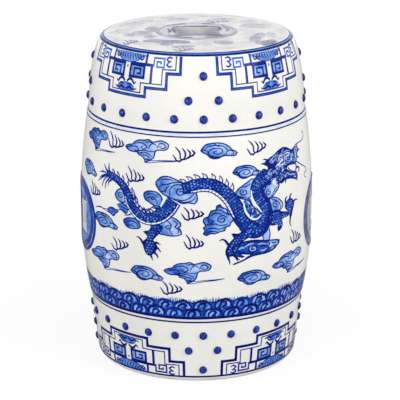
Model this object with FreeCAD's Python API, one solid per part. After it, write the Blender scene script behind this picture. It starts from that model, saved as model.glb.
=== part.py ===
import FreeCAD, Part
import math, os
from FreeCAD import Vector

os.makedirs("parts", exist_ok=True)

# Porcelain garden stool: a hollow barrel of thrown wall sections, luted one on the other,
# with a seat slab on top, pierced coin panels at both sides and rows of raised nails.
# Millimetres, +Z up, floor at z = 0, the main painted side towards -Y, coin panels at +X and -X.

# Heights of the sections, from the floor up
foot_height = 8.0
lower_band_height = 82.0
belly_height = 262.0
upper_band_height = 92.0
seat_edge_height = 12.4

# Outside radii, from the foot up, each from the one below
foot_top_r = 139.3
foot_taper = 5.3
lower_band_flare = 8.9
lower_band_bulge = 0.3
belly_foot_step = 2.0
belly_swell = 10.8
belly_widest_above_seam = 118.0
belly_head_draw = 10.4
belly_head_step = 1.6
shoulder_draw = 14.5
seat_shoulder_run = 16.5

# Rounded steps where the belly stands proud of the bands
foot_step_height = 5.0
head_step_height = 6.0

# Walls and luted seams
wall = 8.0
foot_width = 16.0
tongue_length = 6.0
slip_gap = 0.2
seat_step_depth = 2.5

# Coin in the seat
seat_coin_r = 55.0
seat_coin_rebate = 6.0
seat_coin_ledge = 8.0
seat_hole = 56.0
seat_hole_bow = 2.0
seat_coin_rim = 6.0
seat_hole_rim = 4.0
seat_coin_relief = 0.6

# Double coin panels in the sides
panel_above_seam = 119.0
coin_r = 52.0
coin_offset = 26.0
coin_hole = 42.0
coin_hole_bow = 1.5
coin_rim = 6.0
coin_relief = 1.2
panel_flange = 5.0
panel_ledge = 5.0

# Nails
nail_d = 11.6
nail_rise = 3.4
nails_in_row = 24
nail_sides = 4
upper_row_above_seam = 18.0
upper_pair_above_row = 24.5
upper_single_above_pair = 31.5
lower_row_below_seam = 20.5
lower_pair_below_row = 22.5
lower_single_below_pair = 29.0
pair_angle = 7.8

# Heights of the seams
foot_z = foot_height
lower_seam_z = foot_z + lower_band_height
upper_seam_z = lower_seam_z + belly_height
shoulder_z = upper_seam_z + upper_band_height
seat_z = shoulder_z + seat_edge_height
slab_low_z = shoulder_z - seat_step_depth
panel_height = lower_seam_z + panel_above_seam
upper_row_z = upper_seam_z + upper_row_above_seam
upper_pair_z = upper_row_z + upper_pair_above_row
upper_single_z = upper_pair_z + upper_single_above_pair
lower_row_z = lower_seam_z - lower_row_below_seam
lower_pair_z = lower_row_z - lower_pair_below_row
lower_single_z = lower_pair_z - lower_single_below_pair

# Radii of the seams and of the outside
foot_floor_r = foot_top_r - foot_taper
lower_band_top_r = foot_top_r + lower_band_flare
belly_foot_r = lower_band_top_r + belly_foot_step
belly_widest_r = belly_foot_r + belly_swell
belly_top_r = belly_widest_r - belly_head_draw
neck_r = belly_top_r - belly_head_step
shoulder_r = neck_r - shoulder_draw
seat_flat_r = shoulder_r - seat_shoulder_run

belly_foot_z = lower_seam_z + foot_step_height
belly_widest_z = lower_seam_z + belly_widest_above_seam
belly_head_z = upper_seam_z - head_step_height


def at(r, z):
    return Vector(r, 0, z)


def line(a, b):
    return Part.makeLine(a, b)


def arc(a, b, c):
    return Part.Arc(a, b, c).toShape()


def spline(points):
    curve = Part.BSplineCurve()
    curve.interpolate(points)
    return curve.toShape()


def turned(edges):
    # a closed outline in the XZ plane, turned about the stool's axis
    face = Part.Face(Part.Wire(edges))
    return face.revolve(Vector(0, 0, 0), Vector(0, 0, 1), 360)


def closed(points):
    return [line(points[i], points[(i + 1) % len(points)]) for i in range(len(points))]


def chain(points):
    return [line(points[i], points[i + 1]) for i in range(len(points) - 1)]


def ring(r_in, r_out, z_low, z_high):
    return turned(closed([at(r_in, z_low), at(r_out, z_low), at(r_out, z_high), at(r_in, z_high)]))


def bow(r_low, z_low, r_high, z_high, swell):
    # three points of a gently swelling wall line
    middle = at((r_low + r_high) / 2 + swell, (z_low + z_high) / 2)
    return arc(at(r_low, z_low), middle, at(r_high, z_high))


def around(shape, angle):
    copy = shape.copy()
    copy.rotate(Vector(0, 0, 0), Vector(0, 0, 1), angle)
    return copy


# The belly's two arcs meet at its widest line, both upright there

def belly_r(z, r_end, z_end, inset):
    drop = belly_widest_r - r_end
    reach = z_end - belly_widest_z
    radius = (drop * drop + reach * reach) / (2 * drop)
    rise = z - belly_widest_z
    return belly_widest_r - radius + math.sqrt(radius * radius - rise * rise) - inset


def lower_belly_arc(inset):
    middle_z = (belly_foot_z + belly_widest_z) / 2
    middle_r = belly_r(middle_z, belly_foot_r, belly_foot_z, inset)
    return arc(at(belly_foot_r - inset, belly_foot_z), at(middle_r, middle_z), at(belly_widest_r - inset, belly_widest_z))


def upper_belly_arc(inset):
    middle_z = (belly_head_z + belly_widest_z) / 2
    middle_r = belly_r(middle_z, belly_top_r, belly_head_z, inset)
    return arc(at(belly_widest_r - inset, belly_widest_z), at(middle_r, middle_z), at(belly_top_r - inset, belly_head_z))


def belly_shell(outer_inset, inner_inset):
    # the part of the belly wall between two depths below its outer face
    foot_line = line(at(belly_foot_r - inner_inset, belly_foot_z), at(belly_foot_r - outer_inset, belly_foot_z))
    head_line = line(at(belly_top_r - outer_inset, belly_head_z), at(belly_top_r - inner_inset, belly_head_z))
    return turned([
        foot_line,
        lower_belly_arc(outer_inset),
        upper_belly_arc(outer_inset),
        head_line,
        upper_belly_arc(inner_inset),
        lower_belly_arc(inner_inset),
    ])


def upper_band_line(inset):
    drop = neck_r - shoulder_r
    shape = [(0, 0), (0.36, 0.19), (0.63, 0.41), (0.85, 0.70), (1, 1)]
    return [at(neck_r - drop * fall - inset, upper_seam_z + upper_band_height * up) for up, fall in shape]


# Foot ring, left unglazed so that it doesn't stick to the kiln shelf

foot_inner_r = foot_top_r - foot_width
band_foot_mid_r = foot_top_r - wall / 2
foot_chamfer = 0.375 * foot_height
foot_chamfer_r = foot_floor_r + 0.66 * foot_taper
foot_ring = turned([
    line(at(foot_inner_r + 2, 0), at(foot_floor_r, 0)),
    line(at(foot_floor_r, 0), at(foot_chamfer_r, foot_chamfer)),
    line(at(foot_chamfer_r, foot_chamfer), at(foot_top_r, foot_z)),
    line(at(foot_top_r, foot_z), at(band_foot_mid_r - slip_gap, foot_z)),
    line(at(band_foot_mid_r - slip_gap, foot_z), at(band_foot_mid_r - slip_gap, foot_z + tongue_length)),
    line(at(band_foot_mid_r - slip_gap, foot_z + tongue_length), at(foot_inner_r + 4, foot_z + tongue_length)),
    line(at(foot_inner_r + 4, foot_z + tongue_length), at(foot_inner_r, foot_z)),
    line(at(foot_inner_r, foot_z), at(foot_inner_r, 2)),
    line(at(foot_inner_r, 2), at(foot_inner_r + 2, 0)),
])

# Lower band, rebated inside at both ends for the tongues of its neighbours

lower_inner_foot_r = foot_top_r - wall
lower_inner_top_r = lower_band_top_r - wall
lower_mid_r = lower_band_top_r - wall / 2
lower_band = turned([
    bow(foot_top_r, foot_z, lower_band_top_r, lower_seam_z, lower_band_bulge),
    line(at(lower_band_top_r, lower_seam_z), at(lower_inner_top_r, lower_seam_z)),
    bow(lower_inner_foot_r, foot_z, lower_inner_top_r, lower_seam_z, lower_band_bulge),
    line(at(lower_inner_foot_r, foot_z), at(foot_top_r, foot_z)),
])
foot_rebate = ring(foot_inner_r - 20, band_foot_mid_r, foot_z - 5, foot_z + tongue_length + slip_gap)
lower_rebate_z = lower_seam_z - tongue_length - slip_gap
lower_rebate = ring(lower_inner_top_r - 20, lower_mid_r, lower_rebate_z, lower_seam_z + 5)
lower_band = lower_band.cut(foot_rebate).cut(lower_rebate)

# Belly wall, with a tongue down into the lower band and a rebate for the upper band's tongue

neck_mid_r = neck_r - wall / 2
foot_step = arc(
    at(lower_band_top_r, lower_seam_z),
    at(belly_foot_r - 0.25 * belly_foot_step, lower_seam_z + 0.35 * foot_step_height),
    at(belly_foot_r, belly_foot_z),
)
head_step = arc(
    at(belly_top_r, belly_head_z),
    at(belly_top_r - 0.25 * belly_head_step, upper_seam_z - 0.35 * head_step_height),
    at(neck_r, upper_seam_z),
)
belly_wall = turned([
    line(at(lower_inner_top_r, lower_seam_z), at(lower_band_top_r, lower_seam_z)),
    foot_step,
    lower_belly_arc(0),
    upper_belly_arc(0),
    head_step,
    line(at(neck_r, upper_seam_z), at(neck_r - wall, upper_seam_z)),
    line(at(neck_r - wall, upper_seam_z), at(belly_top_r - wall, belly_head_z)),
    upper_belly_arc(wall),
    lower_belly_arc(wall),
    line(at(belly_foot_r - wall, belly_foot_z), at(lower_inner_top_r, lower_seam_z)),
])
belly_tongue = ring(lower_inner_top_r, lower_mid_r - slip_gap, lower_seam_z - tongue_length, lower_seam_z + 1)
neck_rebate_z = upper_seam_z - tongue_length - slip_gap
neck_rebate = ring(neck_mid_r - 20, neck_mid_r, neck_rebate_z, upper_seam_z + 5)
belly_wall = belly_wall.fuse(belly_tongue).cut(neck_rebate)

# Coin outlines, cut through along X at the right hand side of the stool


def coin(centre_y, radius):
    return Part.makeCylinder(radius, belly_widest_r, Vector(belly_widest_r / 2, centre_y, panel_height), Vector(1, 0, 0))


def both_coins(radius):
    return coin(-coin_offset, radius).fuse(coin(coin_offset, radius))


def bowed_square(side, bow_in, place):
    # four sides that bow in towards the middle, as in a cast coin's hole
    h = side / 2
    corners = [(h, -h), (h, h), (-h, h), (-h, -h)]
    middles = [(h - bow_in, 0), (0, h - bow_in), (bow_in - h, 0), (0, bow_in - h)]
    edges = []
    for i in range(4):
        start, end = corners[i], corners[(i + 1) % 4]
        edges.append(arc(place(*start), place(*middles[i]), place(*end)))
    return Part.Face(Part.Wire(edges))


def coin_opening(centre_y):
    face = bowed_square(
        coin_hole, coin_hole_bow, lambda a, b: Vector(belly_widest_r / 2, centre_y + a, panel_height + b)
    )
    return face.extrude(Vector(belly_widest_r, 0, 0))


# The panel's flange lies in a rebate in the belly wall, its back fills the opening inside

panel_bed = belly_shell(-3, panel_flange).common(both_coins(coin_r + slip_gap))
panel_opening = both_coins(coin_r - panel_ledge)
for side in (0, 180):
    belly_wall = belly_wall.cut(around(panel_bed, side)).cut(around(panel_opening, side))

# Double coin panel: the front coin is whole, the coin behind it is partly covered

front_coin = coin(-coin_offset, coin_r)
front_rim = front_coin.cut(coin(-coin_offset, coin_r - coin_rim))
rear_rim = coin(coin_offset, coin_r).cut(coin(coin_offset, coin_r - coin_rim)).cut(front_coin)
rims = belly_shell(-coin_relief, 1).common(front_rim.fuse(rear_rim))
panel = belly_shell(0, wall).common(both_coins(coin_r)).fuse(rims)
panel_back = belly_shell(panel_flange, wall + 2)
panel_back = panel_back.cut(both_coins(coin_r - panel_ledge - slip_gap))
rear_opening = coin_opening(coin_offset).cut(front_coin)
panel = panel.cut(panel_back).cut(coin_opening(-coin_offset)).cut(rear_opening)
coin_panel_right = panel.removeSplitter()
coin_panel_left = around(coin_panel_right, 180)

# Upper band, with a tongue down into the belly and a flat top for the seat slab

upper_inner = upper_band_line(wall)
upper_band = turned([
    spline(upper_band_line(0)),
    line(at(shoulder_r, shoulder_z), upper_inner[-1]),
    spline(upper_inner),
    line(upper_inner[0], at(neck_r, upper_seam_z)),
])
band_tongue = ring(neck_r - wall, neck_mid_r - slip_gap, upper_seam_z - tongue_length, upper_seam_z + 1)
upper_band = upper_band.fuse(band_tongue)

# Seat slab with its rounded shoulder, a step that drops inside the wall and a rebated hole for the coin

seat_shoulder = arc(
    at(shoulder_r, shoulder_z),
    at(seat_flat_r + 0.667 * seat_shoulder_run, shoulder_z + 0.637 * seat_edge_height),
    at(seat_flat_r, seat_z),
)
step_r = shoulder_r - wall - slip_gap
seat_slab = turned(
    chain([at(0, slab_low_z), at(step_r, slab_low_z), at(step_r, shoulder_z), at(shoulder_r, shoulder_z)])
    + [seat_shoulder]
    + chain([at(seat_flat_r, seat_z), at(0, seat_z), at(0, slab_low_z)])
)
coin_bed = ring(0, seat_coin_r + slip_gap, seat_z - seat_coin_rebate, seat_z + 5)
coin_way = ring(0, seat_coin_r - seat_coin_ledge, slab_low_z - 5, seat_z)
seat_slab = seat_slab.cut(coin_bed).cut(coin_way)

# Seat coin, its flange on the slab's ledge, with raised rims round its edge and its hole

coin_low_z = seat_z - seat_coin_rebate
seat_disc = ring(0, seat_coin_r, coin_low_z, seat_z)
seat_plug = ring(0, seat_coin_r - seat_coin_ledge - slip_gap, slab_low_z, coin_low_z + 1)
edge_rim = ring(seat_coin_r - seat_coin_rim, seat_coin_r, seat_z - 1, seat_z + seat_coin_relief)


def seat_square(side, z_low, z_high):
    face = bowed_square(side, seat_hole_bow, lambda a, b: Vector(a, b, z_low))
    return face.extrude(Vector(0, 0, z_high - z_low))


hole_rim = seat_square(seat_hole + 2 * seat_hole_rim, seat_z - 1, seat_z + seat_coin_relief)
seat_opening = seat_square(seat_hole, slab_low_z - 5, seat_z + 5)
seat_coin = seat_disc.fuse(seat_plug).fuse(edge_rim).fuse(hole_rim).cut(seat_opening).removeSplitter()

# Nails: caps of a ball, cut off where they meet the band's own outer face

nail_ball_r = (nail_d * nail_d / 4 + nail_rise * nail_rise) / (2 * nail_rise)
lower_face_line = bow(foot_top_r, foot_z, lower_band_top_r, lower_seam_z, lower_band_bulge)
lower_core = turned([
    line(at(0, foot_z), at(foot_top_r, foot_z)),
    lower_face_line,
    line(at(lower_band_top_r, lower_seam_z), at(0, lower_seam_z)),
    line(at(0, lower_seam_z), at(0, foot_z)),
])
upper_face_line = spline(upper_band_line(0))
upper_core = turned([
    line(at(0, upper_seam_z), at(neck_r, upper_seam_z)),
    upper_face_line,
    line(at(shoulder_r, shoulder_z), at(0, shoulder_z)),
    line(at(0, shoulder_z), at(0, upper_seam_z)),
])


def face_r(face_line, z):
    level = line(at(0, z), at(2 * belly_widest_r, z))
    return face_line.distToShape(level)[1][0][0].x


def nail(face_line, core, z):
    r = face_r(face_line, z)
    lean = (face_r(face_line, z + 1) - face_r(face_line, z - 1)) / 2
    outward = Vector(1, 0, -lean)
    outward.normalize()
    centre = at(r, z) - outward * (nail_ball_r - nail_rise)
    ball = Part.makeSphere(nail_ball_r, centre)
    return ball.cut(core)


def nail_row(face_line, core, z):
    one = nail(face_line, core, z)
    return Part.Compound([around(one, 360 * i / nails_in_row).Solids[0] for i in range(nails_in_row)])


def gap_nails(face_line, core, pair_z, single_z):
    pair = nail(face_line, core, pair_z)
    single = nail(face_line, core, single_z)
    solids = []
    for i in range(nail_sides):
        turn = 360 * i / nail_sides
        solids += [around(pair, turn - pair_angle).Solids[0], around(pair, turn + pair_angle).Solids[0]]
        solids.append(around(single, turn).Solids[0])
    return Part.Compound(solids)


nodes = {
    "foot_ring": foot_ring,
    "lower_band": lower_band,
    "belly_wall": belly_wall,
    "coin_panel_left": coin_panel_left,
    "coin_panel_right": coin_panel_right,
    "upper_band": upper_band,
    "seat_slab": seat_slab,
    "seat_coin": seat_coin,
    "lower_nail_row": nail_row(lower_face_line, lower_core, lower_row_z),
    "lower_gap_nails": gap_nails(lower_face_line, lower_core, lower_pair_z, lower_single_z),
    "upper_nail_row": nail_row(upper_face_line, upper_core, upper_row_z),
    "upper_gap_nails": gap_nails(upper_face_line, upper_core, upper_pair_z, upper_single_z),
}

for name, shape in nodes.items():
    box = shape.optimalBoundingBox(False, False)
    print(name, len(shape.Solids), shape.isValid(), round(shape.Volume / 1000, 1), "cm3",
          [round(v, 2) for v in (box.XMin, box.XMax, box.YMin, box.YMax, box.ZMin, box.ZMax)])
    shape.exportStep("parts/" + name + ".step")
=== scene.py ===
import bpy, bmesh, math, random
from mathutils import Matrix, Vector


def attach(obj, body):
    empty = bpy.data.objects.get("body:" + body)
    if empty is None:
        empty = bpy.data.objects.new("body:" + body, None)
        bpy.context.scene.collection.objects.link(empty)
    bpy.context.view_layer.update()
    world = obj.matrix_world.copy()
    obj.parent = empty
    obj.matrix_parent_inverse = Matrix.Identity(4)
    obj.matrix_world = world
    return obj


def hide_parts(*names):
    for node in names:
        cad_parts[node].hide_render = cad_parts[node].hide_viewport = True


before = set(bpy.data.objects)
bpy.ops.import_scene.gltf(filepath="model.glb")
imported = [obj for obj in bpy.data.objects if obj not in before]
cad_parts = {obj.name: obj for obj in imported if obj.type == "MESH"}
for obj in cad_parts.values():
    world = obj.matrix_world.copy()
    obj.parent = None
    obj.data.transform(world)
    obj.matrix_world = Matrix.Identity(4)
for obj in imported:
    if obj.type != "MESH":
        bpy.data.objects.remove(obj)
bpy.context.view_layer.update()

# Foot ring.
# The real piece is a thick ring of fine clay luted under the barrel. It is fired bare, so that the
# stool doesn't stick to the kiln shelf, and it shows as a pale matt edge under the base line.

MM = 0.001
TURN = 2 * math.pi


def linear(hex_colour):
    # an sRGB hex colour as the linear values that a socket takes
    values = [int(hex_colour[i:i + 2], 16) / 255 for i in (1, 3, 5)]
    return [v / 12.92 if v <= 0.04045 else ((v + 0.055) / 1.055) ** 2.4 for v in values] + [1.0]


def add(tree, kind, inputs=None, **settings):
    made = tree.nodes.new("ShaderNode" + kind)
    for name, value in settings.items():
        setattr(made, name, value)
    for name, value in (inputs or {}).items():
        socket = made.inputs[name]
        if isinstance(value, bpy.types.NodeSocket):
            tree.links.new(value, socket)
        else:
            socket.default_value = value
    return made


def new_material(name, shader_values):
    material = bpy.data.materials.new(name)
    material.use_nodes = True
    tree = material.node_tree
    shader = tree.nodes["Principled BSDF"]
    for socket, value in shader_values.items():
        shader.inputs[socket].default_value = value
    return material, tree, shader


def mottle(tree, where, size_mm, low, high, detail=3.0):
    # noise of a real grain size, spread over the range low to high
    grain = add(tree, "TexNoise", {"Vector": where, "Scale": 1 / (size_mm * MM), "Detail": detail})
    spread = {
        "Value": grain.outputs["Fac"], "From Min": 0.3, "From Max": 0.7, "To Min": low, "To Max": high
    }
    return add(tree, "MapRange", spread).outputs["Result"]


def finish_piece(bm, name, material, slot, *nodes):
    # smooths all but the real corners, and hangs the piece on the stool's one body
    mesh = bpy.data.meshes.new(name)
    for edge in bm.edges:
        edge.smooth = len(edge.link_faces) == 2 and edge.calc_face_angle(0) < 0.6
    for face in bm.faces:
        face.smooth = True
    bm.to_mesh(mesh)
    bm.free()
    mesh.materials.append(material)
    piece = bpy.data.objects.new(name, mesh)
    bpy.context.scene.collection.objects.link(piece)
    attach(piece, "root")
    if nodes:
        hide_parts(*nodes)


def spun(outline, steps=240, unit=MM):
    # an outline of (radius, height) in millimetres, spun once round as on the wheel
    bm = bmesh.new()
    corners = [bm.verts.new((r * unit, 0, z * unit)) for r, z in outline]
    edges = [bm.edges.new((corners[i - 1], corners[i])) for i in range(len(corners))]
    bmesh.ops.spin(
        bm, geom=corners + edges, cent=(0, 0, 0), axis=(0, 0, 1), dvec=(0, 0, 0),
        angle=TURN, steps=steps, use_merge=True, use_normal_flip=False, use_duplicate=False,
    )
    bmesh.ops.remove_doubles(bm, verts=bm.verts, dist=1e-3 * unit)
    bmesh.ops.recalc_face_normals(bm, faces=bm.faces)
    return bm


# Biscuit porcelain, bare and fired: chalky, cream with a faint warm bloom, fine grit under the hand
bare_clay, tree, shader = new_material("biscuit porcelain", {"Roughness": 0.72, "IOR": 1.5})
where = add(tree, "TexCoord").outputs["Object"]
bloom = mottle(tree, where, 18, 0, 1)
tint = add(tree, "Mix", {"Factor": bloom, "A": linear("#F7F5F1"), "B": linear("#EBE8E1")}, data_type="RGBA")
tree.links.new(tint.outputs["Result"], shader.inputs["Base Color"])
grit = mottle(tree, where, 0.8, 0, 1)
bump = add(tree, "Bump", {"Height": grit, "Strength": 0.25, "Distance": 0.0002})
tree.links.new(bump.outputs["Normal"], shader.inputs["Normal"])

foot_outline = [
    (125.3, 0), (133.2, 0), (134.8, 0.5), (136.4, 1.8), (137.5, 3), (138.6, 5.2), (139.3, 8),
    (135, 8), (135, 13), (127.3, 13), (123.3, 8), (123.3, 2), (123.9, 0.7),
]
finish_piece(spun(foot_outline), "bare_foot_ring", bare_clay, "unglazed_foot", "foot_ring")

# Lower band.
# A thrown ring of porcelain, nearly straight, that carries the lower nails. It is luted to the foot
# and to the belly, and covered inside and out with a clear glaze that pools a little blue.


def arc_offset(t, swell):
    # how far a shallow arc stands out from its chord at t from 0 to 1
    return 4 * swell * t * (1 - t)


BAND_FOOT, BAND_HEAD = 8, 90
BAND_LOW_R, BAND_HIGH_R, BAND_SWELL = 139.3, 148.2, 0.3


def lower_band_r(z):
    t = (z - BAND_FOOT) / (BAND_HEAD - BAND_FOOT)
    return BAND_LOW_R + (BAND_HIGH_R - BAND_LOW_R) * t + arc_offset(t, BAND_SWELL)


def glaze_surface(tree, shader, where):
    # the clear glaze over everything: a hair of orange peel, a few pinholes, an even wet gloss
    peel = mottle(tree, where, 9, 0, 1, 1.0)
    pits = add(tree, "TexVoronoi", {"Vector": where, "Scale": 1 / (14 * MM)})
    hole = {
        "Value": pits.outputs["Distance"], "From Min": 0.0, "From Max": 0.03, "To Min": -1.0, "To Max": 0.0
    }
    pinhole = add(tree, "MapRange", hole).outputs["Result"]
    height = add(tree, "Math", {0: peel, 1: pinhole}, operation="ADD").outputs["Value"]
    bump = add(tree, "Bump", {"Height": height, "Strength": 0.35, "Distance": 0.00012})
    tree.links.new(bump.outputs["Normal"], shader.inputs["Normal"])
    gloss = mottle(tree, where, 30, 0.07, 0.14)
    tree.links.new(gloss, shader.inputs["Roughness"])


# Clear glaze on white porcelain: warm white, very smooth, with faint cloudy tone and rare iron specks
GLAZE = {"IOR": 1.5, "Specular IOR Level": 0.2}
white_glaze, tree, shader = new_material("clear glaze on porcelain", GLAZE)
where = add(tree, "TexCoord").outputs["Object"]
cloudy = mottle(tree, where, 60, 0, 1)
tint = add(
    tree, "Mix", {"Factor": cloudy, "A": linear("#F4F2EE"), "B": linear("#EBEBE8")}, data_type="RGBA"
)
specks = add(tree, "TexVoronoi", {"Vector": where, "Scale": 1 / (26 * MM)})
speck = {
    "Value": specks.outputs["Distance"], "From Min": 0.02, "From Max": 0.035, "To Min": 0.35, "To Max": 0.0
}
spot = add(tree, "MapRange", speck).outputs["Result"]
dotted = add(
    tree, "Mix", {"Factor": spot, "A": tint.outputs["Result"], "B": linear("#9A8468")}, data_type="RGBA"
)
tree.links.new(dotted.outputs["Result"], shader.inputs["Base Color"])
glaze_surface(tree, shader, where)

WALL = 8.0
band_heights = [BAND_FOOT + (BAND_HEAD - BAND_FOOT) * i / 20 for i in range(21)]
outside = [(lower_band_r(z), z) for z in band_heights]
inside = [(lower_band_r(z) - WALL, z) for z in reversed(band_heights)]
finish_piece(spun(outside + inside), "glazed_lower_band", white_glaze, "white_glaze", "lower_band")

# Upper band.
# The ring under the seat, turned in towards the shoulder. It carries the upper nails, and it is
# luted to the belly at the upper double line and covered with the same clear glaze.

NECK_FOOT, NECK_HEAD = 352, 444
NECK = [(NECK_FOOT, 149.0), (385.1, 146.245), (410, 143.055), (430.2, 138.85), (NECK_HEAD, 134.5)]


def upper_band_r(z):
    # a smooth line through the band's five turned radii
    i = max(j for j in range(4) if z >= NECK[j][0] or j == 0)
    (z0, r0), (z1, r1) = NECK[i], NECK[i + 1]
    slopes = [(NECK[j + 1][1] - NECK[j][1]) / (NECK[j + 1][0] - NECK[j][0]) for j in range(4)]
    ends = [slopes[0]] + [(slopes[j] + slopes[j + 1]) / 2 for j in range(3)] + [slopes[3] * 1.15]
    run = z1 - z0
    t = (z - z0) / run
    return (
        r0 * (1 + 2 * t) * (1 - t) ** 2 + r1 * t * t * (3 - 2 * t)
        + run * (ends[i] * t * (1 - t) ** 2 - ends[i + 1] * t * t * (1 - t))
    )


band_heights = [NECK_FOOT + (NECK_HEAD - NECK_FOOT) * i / 24 for i in range(25)]
outside = [(upper_band_r(z), z) for z in band_heights]
inside = [(upper_band_r(z) - WALL, z) for z in reversed(band_heights)]
finish_piece(spun(outside + inside), "glazed_upper_band", white_glaze, "white_glaze", "upper_band")

# Belly wall.
# The swelling middle of the barrel, thrown as one wall and cut through at both sides for the coin
# panels. It stands 2 mm proud of the bands, with a soft step where the double lines run.

U_MM = 155.0
HALF_ROUND = math.pi * U_MM
WIDEST_R, WIDEST_Z = 161.0, 208.0
BELLY_LOW, BELLY_LOW_R = 95.0, 150.2
BELLY_HIGH, BELLY_HIGH_R = 346.0, 150.6


def step_r(t, r_low, r_high):
    # the soft step at the belly's foot and head, t from 0 at the band to 1 on the belly
    return r_low + (r_high - r_low) * (1 - (1 - t) ** 2.2)


def belly_r(z):
    # the steps at foot and head, and between them two arcs that meet where the belly is widest
    if z < BELLY_LOW:
        return step_r((z - BAND_HEAD) / (BELLY_LOW - BAND_HEAD), BAND_HIGH_R, BELLY_LOW_R)
    if z > BELLY_HIGH:
        return step_r((NECK_FOOT - z) / (NECK_FOOT - BELLY_HIGH), NECK[0][1], BELLY_HIGH_R)
    if z < WIDEST_Z:
        r_end, reach = BELLY_LOW_R, WIDEST_Z - BELLY_LOW
    else:
        r_end, reach = BELLY_HIGH_R, BELLY_HIGH - WIDEST_Z
    drop = WIDEST_R - r_end
    radius = (drop * drop + reach * reach) / (2 * drop)
    return WIDEST_R - radius + math.sqrt(radius ** 2 - (z - WIDEST_Z) ** 2)


def outer_r(z):
    # the stool's outer radius at any height of its wall
    if z <= BAND_HEAD:
        return lower_band_r(z)
    return belly_r(z) if z <= NECK_FOOT else upper_band_r(z)


def round_barrel(u, z, lift):
    # a place on the unrolled barrel, in millimetres from the middle of the front, to its place in space
    turn = u / U_MM
    r = (outer_r(z) + lift) * MM
    return Vector((r * math.sin(turn), -r * math.cos(turn), z * MM))


def slice_grid(bm, u_step, z_step, z_extra=()):
    # cuts flat faces along a grid, so that they bend smoothly round the barrel
    def within_reach(places, step):
        return range(math.ceil(min(places) / step), math.ceil(max(places) / step))

    cuts = [((u_step * i, 0, 0), (1, 0, 0)) for i in within_reach([v.co.x for v in bm.verts], u_step)]
    cuts += [((0, z_step * i, 0), (0, 1, 0)) for i in within_reach([v.co.y for v in bm.verts], z_step)]
    cuts += [((0, z, 0), (0, 1, 0)) for z in z_extra]
    for point, across in cuts:
        geometry = bm.verts[:] + bm.edges[:] + bm.faces[:]
        bmesh.ops.bisect_plane(bm, geom=geometry, dist=1e-4, plane_co=point, plane_no=across)


def flat_sheet(loops):
    # a flat sheet of clay or paint in (u, z), filled inside the first loop and open inside the others
    bm = bmesh.new()
    edges = []
    for loop in loops:
        corners = [bm.verts.new((u, z, 0)) for u, z in loop]
        edges += [bm.edges.new((corners[i - 1], corners[i])) for i in range(len(corners))]
    bmesh.ops.triangle_fill(bm, edges=edges, use_beauty=True, use_dissolve=False, normal=(0, 0, 1))
    return bm


def face_out(bm):
    # turns over the faces of a flat sheet that look inwards
    turned_away = [face for face in bm.faces if face.normal.z < 0]
    bmesh.ops.reverse_faces(bm, faces=turned_away)


def wrap(bm, place):
    # carries flat clay or paint to its place on the stool
    for vert in bm.verts:
        vert.co = place(*vert.co)
    bmesh.ops.remove_doubles(bm, verts=bm.verts, dist=2e-6)
    bm.normal_update()


COIN_R, COIN_SHIFT, PANEL_Z = 52.0, 26.0, 209.0
COIN_HOLE, HOLE_BOW = 42.0, 1.5


def on_side(y, z, side):
    # a point of the panel as drawn on a flat board, carried straight on to the barrel's side
    turn = math.asin(y / outer_r(z))
    return (side * HALF_ROUND / 2 + U_MM * turn, z)


def arc_points(centre, radius, start, end, count):
    # places along an arc, its two ends too
    angles = [start + (end - start) * i / count for i in range(count + 1)]
    return [(centre[0] + radius * math.cos(a), centre[1] + radius * math.sin(a)) for a in angles]


def both_coins(radius):
    # the outline of the two coins that lie one over the other
    count = 48
    open_half = math.acos(COIN_SHIFT / radius)
    left = arc_points((-COIN_SHIFT, PANEL_Z), radius, open_half, TURN - open_half, count)
    right = arc_points((COIN_SHIFT, PANEL_Z), radius, math.pi + open_half, 3 * math.pi - open_half, count)
    return left[:-1] + right[:-1]


sheet_edge = [
    (-HALF_ROUND, BAND_HEAD), (HALF_ROUND, BAND_HEAD), (HALF_ROUND, NECK_FOOT), (-HALF_ROUND, NECK_FOOT),
]
openings = [[on_side(y, z, side) for y, z in both_coins(COIN_R)] for side in (-1, 1)]
bm = flat_sheet([sheet_edge] + openings)
slice_grid(bm, 8.0, 8.0, (91, 92, 93, 94, 95, 346, 347.2, 348.4, 349.6, 350.8))
face_out(bm)
bm.normal_update()
bmesh.ops.solidify(bm, geom=bm.faces[:], thickness=WALL)
# the sheet's two ends meet at the back, where the wall's closing faces go
seam = [face for face in bm.faces if all(abs(abs(v.co.x) - HALF_ROUND) < 1e-3 for v in face.verts)]
bmesh.ops.delete(bm, geom=seam, context="FACES")
wrap(bm, round_barrel)
bmesh.ops.recalc_face_normals(bm, faces=bm.faces)
finish_piece(bm, "glazed_belly_wall", white_glaze, "white_glaze", "belly_wall")

# Double coin panels.
# Each is a porcelain slab pressed as two overlapping coins, the front one whole, pierced with the coins'
# square holes and luted into the side as a hand hold. Raised rims and holes are edged in cobalt.


def smooth_line(points, pace, loop=False):
    # a curved line through given points, with a place about every pace millimetres
    line = []
    count = len(points)
    for i in range(count if loop else count - 1):
        if loop:
            near = [points[(i + k) % count] for k in (-1, 0, 1, 2)]
        else:
            near = [points[min(max(i + k, 0), count - 1)] for k in (-1, 0, 1, 2)]
        parts = max(1, round(math.dist(near[1], near[2]) / pace))
        for j in range(parts):
            t = j / parts
            place = []
            for a, b, c, d in zip(*near):
                bend, twist = 2 * a - 5 * b + 4 * c - d, 3 * b - a - 3 * c + d
                place.append(0.5 * (2 * b + (c - a) * t + bend * t * t + twist * t ** 3))
            line.append(tuple(place))
    return line if loop else line + [points[-1]]


def straight_line(points, pace, loop):
    # the same for a line with square corners
    line = []
    ends = points[1:] + points[:1] if loop else points[1:]
    for start, end in zip(points, ends):
        parts = max(1, math.ceil(math.dist(start, end) / pace))
        line += [tuple(a + (b - a) * j / parts for a, b in zip(start, end)) for j in range(parts)]
    return line if loop else line + [points[-1]]


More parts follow.
